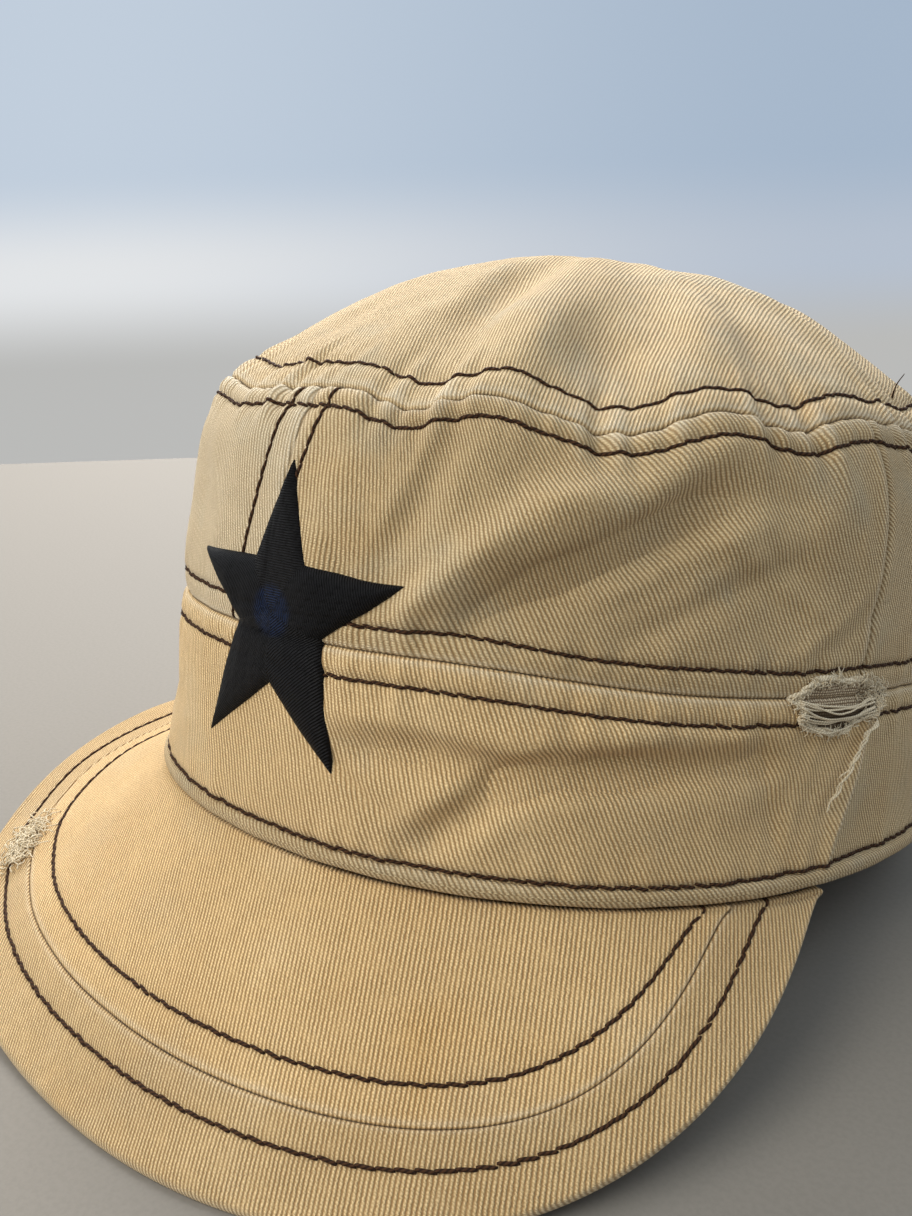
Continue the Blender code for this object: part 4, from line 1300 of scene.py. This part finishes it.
class SewRows(bpy.types.Operator):
    """Sews the brown topstitches of the crown, hem and peak."""

    bl_idname = "cap.sew_rows"
    bl_label = "Topstitches"

    def execute(self, context):
        look = context.scene.cap_stitch
        thread = twisted_thread("brown_thread", tuple(look.dark_colour), tuple(look.light_colour), 0.00012)
        above = 2.0 + TOP_STITCH_ABOVE / TOP_RUN
        below = 2.0 - TOP_STITCH_BELOW / UPPER_BAND_HEIGHT
        over = 1.0 + MIDDLE_STITCH_ABOVE / UPPER_BAND_HEIGHT
        under = 1.0 - MIDDLE_STITCH_BELOW / LOWER_BAND_HEIGHT
        hem = HEM_STITCH / LOWER_BAND_HEIGHT
        upright = [crown_row(foot, head, 1.0, 1.995, 0.004) for head, foot in FRONT_ROWS]
        round_top = [crown_row(0, 360, level, level, 0.003) for level in (above, below)]
        round_middle = [crown_row(0, 360, level, level, 0.004) for level in (over, under)]
        rows = {
            "stitches_top": (round_top, "crown_top_cloth"),
            "stitches_middle": (round_middle, "lower_band_front_cloth"),
            "stitches_hem": ([crown_row(0, 360, hem, hem, 0.002)], "hem_band_cloth"),
            "stitches_front": (upright, "upper_side_left_cloth"),
            "stitches_peak": ([peak_row(row) for row in PEAK_ROWS], "peak_border_cloth"),
        }
        for number, (name, (lines, slot)) in enumerate(rows.items()):
            dress(add_stitches(name, look, lines, 40 + number), thread, slot)
        return {"FINISHED"}


class EmbroiderStar(bpy.types.Operator):
    """Embroiders the star: ten leaning facets of satin stitch, padded towards the middle of each arm."""

    bl_idname = "cap.embroider_star"
    bl_label = "Star"

    # Reach of the inner corners as a share of the tips', points along each side and from the middle outwards,
    # radius of the blue middle and the width over which it ends
    INNER_SHARE = 0.42
    STEPS = 12
    RINGS = 26
    MIDDLE_RADIUS = 0.0058
    MIDDLE_FADE = 0.0012

    def execute(self, context):
        look = context.scene.cap_star
        inner = look.radius * self.INNER_SHARE
        sides, steps, rings = 10, self.STEPS, self.RINGS
        corner_turn = np.arange(sides + 1) * (TURN / sides)
        corner_reach = np.where(np.arange(sides + 1) % 2 == 0, look.radius, inner)
        corner = np.stack([np.sin(corner_turn), np.cos(corner_turn)], axis=-1) * corner_reach[:, None]
        part = np.linspace(0.0, 1.0, steps + 1)
        edge = corner[:-1, None] * (1.0 - part[:, None]) + corner[1:, None] * part[:, None]
        share = 1.0 - np.linspace(1.0, 0.0, rings + 1) ** 1.5
        place = edge[:, :, None] * share[:, None]
        side = corner[1:] - corner[:-1]
        square = np.stack([side[:, 1], -side[:, 0]], axis=-1) / np.linalg.norm(side, axis=1)[:, None]
        away = np.abs(((edge[:, :1] - place.reshape(sides, -1, 2)) * square[:, None]).sum(-1))
        away = away.reshape(place.shape[:3])
        lift = look.raise_by * (1.0 - np.exp(-away / 0.0011)) + 0.00022 * np.clip(away / 0.005, 0.0, 1.0)
        lift = lift + 0.00025 - 0.0006 * (away < 1e-6)
        arm = np.where(np.arange(sides) % 2 == 0, corner_turn[:-1], corner_turn[1:])
        axis = np.stack([np.sin(arm), np.cos(arm)], axis=-1)
        cross = np.stack([np.cos(arm), -np.sin(arm)], axis=-1)
        flat = np.stack([(place * line[:, None, None]).sum(-1) for line in (axis, cross)], axis=-1)
        angle = look.place + place[..., 0] / girth(1.0)
        climb = look.above_seam + place[..., 1]
        station = station_at(climb)
        base = crown(angle, station)
        out = wall_direction(angle, station)
        relief = crown_relief(angle, station, base) * 0.35
        points = laid(base + out * (lift + relief)[..., None])
        backing = laid(base - out * 0.0002)
        middle = np.clip((self.MIDDLE_RADIUS - np.linalg.norm(place, axis=-1)) / self.MIDDLE_FADE, 0.0, 1.0)
        number = np.arange(points[..., 0].size * 2).reshape(2, *points.shape[:3])
        face, back = number
        quads = [
            [face[:, :-1, :-1], face[:, 1:, :-1], face[:, 1:, 1:], face[:, :-1, 1:]],
            [back[:, :-1, :-1], back[:, :-1, 1:], back[:, 1:, 1:], back[:, 1:, :-1]],
            [face[:, :-1, -1], face[:, 1:, -1], back[:, 1:, -1], back[:, :-1, -1]],
        ]
        spots = flat.reshape(-1, 2)
        corners = [np.stack(quad, axis=-1).reshape(-1, 4) for quad in quads]
        places = [spots[quad % len(spots)] for quad in corners]
        everything = np.concatenate([points.reshape(-1, 3), backing.reshape(-1, 3)])
        wear_and_shade = np.concatenate([middle.ravel(), middle.ravel()])
        made = add_mesh("star_embroidery", everything, corners, places, wear_and_shade)
        dress(made, satin_stitch("black_satin_stitch", look), "upper_side_left_cloth")
        return {"FINISHED"}


def curled(starts, directions, normals, size, points, curl, seed):
    """Gives loose threads as rows of points: each leaves its start, bends at random and falls back to the
    cloth."""
    draw = np.random.default_rng(seed)
    count = len(starts)
    share = np.linspace(0.0, 1.0, points)
    side = np.cross(directions, normals)
    wave = draw.uniform(-1.0, 1.0, (count, 4))
    bend = wave[:, :1] * share**2 + wave[:, 1:2] * 0.5 * np.sin(share * 7.0 + wave[:, 2:3] * 3.0) * share
    lift = 0.35 * np.sin(share * math.pi) * (1.0 + wave[:, 3:4] * 0.6)
    length = (size * draw.uniform(0.5, 1.3, count))[:, None, None]
    path = directions[:, None] * share[:, None] + side[:, None] * (bend * curl)[..., None]
    return starts[:, None] + length * (path + normals[:, None] * lift[..., None])


class FrayCloth(bpy.types.Operator):
    """Frays the torn place on the middle seam and the rubbed-through one on the peak's seam, and leaves the
    loose ends."""

    bl_idname = "cap.fray_cloth"
    bl_label = "Frays"

    # The tear's place round the crown in degrees, its height above the middle seam and its half sizes
    TEAR_ANGLE = 79.5
    TEAR_CLIMB = -0.0010
    TEAR_HALF_WIDTH = 0.0125
    TEAR_HALF_HEIGHT = 0.0050

    # The worn place on the peak's seam: its share of the way from the middle to the end, and its spread
    WORN_SHARE = -0.435
    WORN_SPREAD = 0.022

    def execute(self, context):
        pale = twisted_thread("pale_thread", (0.52, 0.42, 0.28), (0.88, 0.78, 0.59), 0.00004, 1500.0, 0.9)
        brown = bpy.data.materials["brown_thread"]
        self.tear(pale)
        self.worn_spot(pale)
        angle, station = np.radians(np.array([105.0])), np.array([2.09])
        start, out = crown_cloth(angle, station)
        ends = curled(start, unit(out * 0.9 + UP * 0.6), np.cross(out, UP), 0.008, 12, 0.35, 71)
        radius = np.full(ends.shape[:2], 0.00022) * np.linspace(1.0, 0.4, 12)
        dress(add_tubes("thread_end_top", laid(ends), radius, 6), brown, "crown_top_cloth")
        return {"FINISHED"}

    def tear(self, pale):
        """Lays a piece of woven tape in a ring of frayed cloth, with threads across it and three that hang
        down."""
        half_width, half_height = self.TEAR_HALF_WIDTH, self.TEAR_HALF_HEIGHT

        def spot(x, y):
            """Gives the point and outward direction on the crown at a distance right of and above the tear's
            middle."""
            angle = math.radians(self.TEAR_ANGLE) + x / girth(1.0)
            return crown_cloth(angle, station_at(self.TEAR_CLIMB + y))

        def ring(turns, size):
            """Gives the distances right of and above the tear's middle of its ragged edge, scaled by a
            size."""
            size = size * (1.0 + 0.10 * np.sin(3.0 * turns + 1.0) + 0.06 * np.sin(7.0 * turns))
            return size * half_width * np.cos(turns), size * half_height * np.sin(turns)

        turn = np.linspace(0.0, TURN, 97)[:-1]
        share = np.linspace(0.0, 1.0, 15)
        turn, share = np.meshgrid(turn, share, indexing="ij")
        x, y = ring(turn, share)
        base, out = spot(x, y)
        flat = np.stack([x, y], axis=-1)
        flat = np.concatenate([flat, flat[:1]])
        top = base + out * (0.00062 - 0.0004 * share**6)[..., None]
        # Painted shade: the tape darkens below its middle, where the hole behind it lies in shade
        painted_hole_shade = np.clip((-0.0004 - y) / 0.0008, 0.0, 1.0)
        tape = add_wall("tear_tape", laid(top), laid(base - out * 0.0002), True, flat, painted_hole_shade)
        dress(tape, plain_weave("woven_tape"), "lower_band_front_cloth")
        draw = np.random.default_rng(61)

        turns = np.linspace(0.0, TURN, 141) + draw.uniform(0.0, TURN, (7, 1))
        waves = draw.uniform(0.0, TURN, (7, 2))
        size = 1.0 + np.linspace(-0.05, 0.07, 7)[:, None] + 0.035 * np.sin(turns * 11.0 + waves[:, :1])
        base, out = spot(*ring(turns, size))
        cord = base + out * (0.00045 + 0.00030 * np.sin(turns * 17.0 + waves[:, 1:]))[..., None]
        radius = np.full(cord.shape[:2], 0.00036)
        dress(add_tubes("tear_edge", laid(cord), radius, 6), pale, "lower_band_front_cloth")
        turns = draw.uniform(0.0, TURN, 420)
        x, y = ring(turns, draw.normal(1.0, 0.05, 420))
        x[300:], y[300:] = draw.normal(0.0098, 0.0016, 120), draw.normal(0.0016, 0.0013, 120)
        heading = turns + 1.57 + draw.normal(0.0, 0.8, 420)
        start, normal = spot(x, y)
        ahead = spot(x + 0.001 * np.cos(heading), y + 0.001 * np.sin(heading))[0]
        threads = curled(start + normal * 0.0005, unit(ahead - start), normal, 0.0017, 9, 0.9, 62)
        fuzz = np.full(threads.shape[:2], 0.00015) * np.linspace(1.0, 0.5, 9)
        dress(add_tubes("tear_fringe", laid(threads), fuzz, 5), pale, "lower_band_front_cloth")
        count = 9
        share = np.linspace(0.0, 1.0, 30)
        first = np.linspace(0.0012, -0.0030, count)[:, None] + draw.normal(0.0, 0.0002, (count, 1))
        last = np.linspace(0.0004, -0.0022, count)[:, None] + draw.normal(0.0, 0.0003, (count, 1))
        x = -0.0120 + 0.0215 * share + first * 0.0
        sag = draw.uniform(0.0008, 0.0024, (count, 1)) * np.sin(share * math.pi)
        y = first * (1.0 - share) + last * share - sag + 0.0002 * np.sin(share * 9.0 + first * 9e3)
        base, out = spot(x, y)
        rise = 0.0011 + draw.uniform(0.0, 0.0007, (count, 1)) * np.sin(share * math.pi)
        across = base + out * rise[..., None]
        radius = np.full(across.shape[:2], 0.00019)
        dress(add_tubes("tear_threads", laid(across), radius, 6), pale, "lower_band_front_cloth")
        share = np.linspace(0.0, 1.0, 60)
        turned = np.array([0.0, 2.1, 4.2])[:, None]
        run = share * np.array([1.0, 0.86, 0.62])[:, None]
        x = np.interp(run, (0.0, 0.15, 0.45, 0.65, 1.0), (0.0120, 0.0075, 0.0038, 0.0015, -0.0008))
        x = x + 0.00030 * np.cos(share * 26.0 + turned)
        y = np.interp(run, (0.0, 0.15, 0.45, 0.65, 1.0), (-0.0037, -0.0062, -0.0116, -0.0150, -0.0207))
        base, out = spot(x, y)
        rise = 0.0009 + 0.0012 * np.sin(share * math.pi) + 0.00025 * np.sin(share * 26.0 + turned)
        hang = base + out * rise[..., None]
        radius = np.full(hang.shape[:2], 0.00021) * np.clip((1.0 - share) * 9.0 + 0.5, 0.0, 1.0)
        dress(add_tubes("tear_hanging_threads", laid(hang), radius, 6), pale, "lower_band_front_cloth")

    def worn_spot(self, pale):
        """Scatters short curled threads over the rubbed-through place on the seam at the wearer's right side
        of the peak."""
        draw = np.random.default_rng(65)
        count = 260
        share = draw.normal(self.WORN_SHARE, self.WORN_SPREAD, count)
        order = np.argsort(share)
        angle, reach = seam_line(np.clip(share[order], -0.55, -0.35), 0.0)
        reach = reach + draw.normal(0.0025, 0.0024, count)
        start = peak(angle, reach)
        out = peak_facing(angle, reach)
        heading = draw.uniform(0.0, TURN, count)
        side = unit(np.cross(out, UP))
        ahead = side * np.cos(heading)[:, None] + np.cross(out, side) * np.sin(heading)[:, None]
        threads = curled(start + out * 0.0002, ahead, out, 0.0024, 9, 0.9, 66)
        radius = np.full(threads.shape[:2], 0.00020) * np.linspace(1.0, 0.6, 9)
        dress(add_tubes("peak_fray", laid(threads), radius, 5), pale, "peak_border_cloth")


def stand(made, place, side, up, back):
    """Puts a light or the camera at a place, with its own X, Y and Z along three directions."""
    made.location = place
    made.rotation_euler = Matrix(np.stack([side, up, back], axis=1).tolist()).to_euler()
    bpy.context.scene.collection.objects.link(made)
    return made


class SetStage(bpy.types.Operator):
    """Sets the table, the wall behind it, the soft lights and the camera."""

    bl_idname = "cap.set_stage"
    bl_label = "Stage"

    # The camera as fitted to the cap's seams: turn, height and roll in degrees, distance, target and focal
    # length in pixels of a picture 1216 high
    CAMERA_TURN = 45.350
    CAMERA_HEIGHT = 17.593
    CAMERA_ROLL = -1.941
    CAMERA_DISTANCE = 0.32609
    CAMERA_TARGET = (-0.03733, 0.02314, 0.04910)
    FOCAL_PIXELS = 1211.1
    PICTURE_HEIGHT = 1216.0

    # The point that every light faces
    LIT_PLACE = (0.0, 0.0, 0.05)

    def execute(self, context):
        look = context.scene.cap_stage
        self.table(look)
        self.lights(context.scene, look)
        self.camera(context.scene)
        return {"FINISHED"}

    def table(self, look):
        """Carries one profile sideways: a level table, and a wall that stands behind it, turned towards the
        camera."""
        turn = math.radians(self.CAMERA_TURN)
        ahead = np.array([-math.sin(turn), math.cos(turn), 0.0])
        side = np.array([math.cos(turn), math.sin(turn), 0.0])
        across = np.array([-1.5, -0.34, 1.0, 3.0])
        reach = np.array([-2.5, 0.0, 0.56, 0.575, 0.58]) + np.clip(-0.34 - across, 0.0, 2.0)[:, None] * 0.5
        drop = np.array([0.0, 0.0, 0.0, -0.004, -0.02])
        points = ahead * reach[..., None] + UP * drop[None, :, None] + side * across[:, None, None]
        material = plaster("pale_table", tuple(look.table_colour), (0.215, 0.198, 0.174), 900.0, 0.00002)
        self.plate("table", points, material)
        up = np.array([-0.5, 0.6, 1.2, 2.4])
        points = ahead * 1.6 + UP * up[None, :, None] + side * across[:, None, None] * 1.6 - side
        self.plate("wall", points, glowing_wall("pale_wall", tuple(look.wall_colour)))

    def plate(self, name, points, material):
        """Makes one face of the setting from a grid of points."""
        columns, rows = points.shape[:2]
        number = np.arange(columns * rows).reshape(columns, rows)
        corners = cells(number)
        mesh = bpy.data.meshes.new(name)
        mesh.from_pydata(points.reshape(-1, 3).tolist(), [], corners.tolist())
        mesh.materials.append(material)
        made = bpy.data.objects.new(name, mesh)
        bpy.context.scene.collection.objects.link(made)

    def lights(self, scene, look):
        """Adds soft lights on the left, in front, on the right and behind, and even light from the air."""
        settings = (
            ("key_light", look.key_power, 0.7, (-0.59, -0.59, 1.00), (1.0, 0.97, 0.93)),
            ("side_light", look.side_power, 0.7, (-0.07, -1.06, 0.75), (1.0, 0.97, 0.88)),
            ("right_light", look.right_power, 0.9, (0.70, 0.70, 0.84), (0.84, 0.93, 1.0)),
            ("back_light", look.back_power, 0.9, (-0.78, 0.63, 0.84), (1.0, 0.97, 0.94)),
        )
        for name, power, size, place, colour in settings:
            light = bpy.data.lights.new(name, "AREA")
            light.energy, light.size, light.color = power, size, colour
            back = unit(np.array(place) - np.array(self.LIT_PLACE))
            side = unit(np.cross(UP, back))
            stand(bpy.data.objects.new(name, light), place, side, np.cross(back, side), back)
        world = bpy.data.worlds.new("air")
        world.use_nodes = True
        background = world.node_tree.nodes["Background"]
        background.inputs["Color"].default_value = (0.86, 0.93, 1.0, 1.0)
        background.inputs["Strength"].default_value = look.air
        scene.world = world
        scene.view_settings.view_transform = "Standard"

    def camera(self, scene):
        """Places the camera from its turn, height and roll round the target."""
        degrees = (self.CAMERA_TURN, self.CAMERA_HEIGHT, self.CAMERA_ROLL)
        turn, height, roll = (math.radians(value) for value in degrees)
        outward = np.array([math.sin(turn), -math.cos(turn), 0.0])
        back = outward * math.cos(height) + UP * math.sin(height)
        right = np.array([math.cos(turn), math.sin(turn), 0.0])
        up = np.cross(back, right)
        right, up = right * math.cos(roll) + up * math.sin(roll), up * math.cos(roll) - right * math.sin(roll)
        lens = bpy.data.cameras.new("camera")
        lens.sensor_width = 36.0
        lens.lens = self.FOCAL_PIXELS * lens.sensor_width / self.PICTURE_HEIGHT
        lens.clip_start = 0.01
        place = np.array(self.CAMERA_TARGET) + back * self.CAMERA_DISTANCE
        scene.camera = stand(bpy.data.objects.new("camera", lens), place, right, up, back)


class CapPanel(bpy.types.Panel):
    """Lists the sizes and colours of the cap and the steps that build it."""

    bl_idname = "VIEW3D_PT_cadet_cap"
    bl_label = "Cadet cap"
    bl_space_type = "VIEW_3D"
    bl_region_type = "UI"
    bl_category = "Cap"

    def draw(self, context):
        for group in LOOKS:
            box = self.layout.box()
            for name in LOOKS[group].__annotations__:
                box.prop(getattr(context.scene, group), name)
        for step in STEPS:
            self.layout.operator(step.bl_idname)


LOOKS = {"cap_cloth": ClothLook, "cap_stitch": StitchLook, "cap_star": StarLook, "cap_stage": StageLook}
STEPS = (SetStage, BuildHem, BuildSides, BuildTop, BuildPeak, SewRows, EmbroiderStar, FrayCloth)


def register():
    """Registers the property groups, the operators and the panel."""
    for made in (*LOOKS.values(), *STEPS, CapPanel):
        bpy.utils.register_class(made)
    for name, group in LOOKS.items():
        setattr(bpy.types.Scene, name, bpy.props.PointerProperty(type=group))


def unregister():
    """Removes what register added."""
    for name in LOOKS:
        delattr(bpy.types.Scene, name)
    for made in (CapPanel, *reversed(STEPS), *reversed(LOOKS.values())):
        bpy.utils.unregister_class(made)


def main():
    """Builds every piece in order."""
    register()
    for step in STEPS:
        group, name = step.bl_idname.split(".")
        getattr(getattr(bpy.ops, group), name)()


if __name__ == "__main__":
    main()
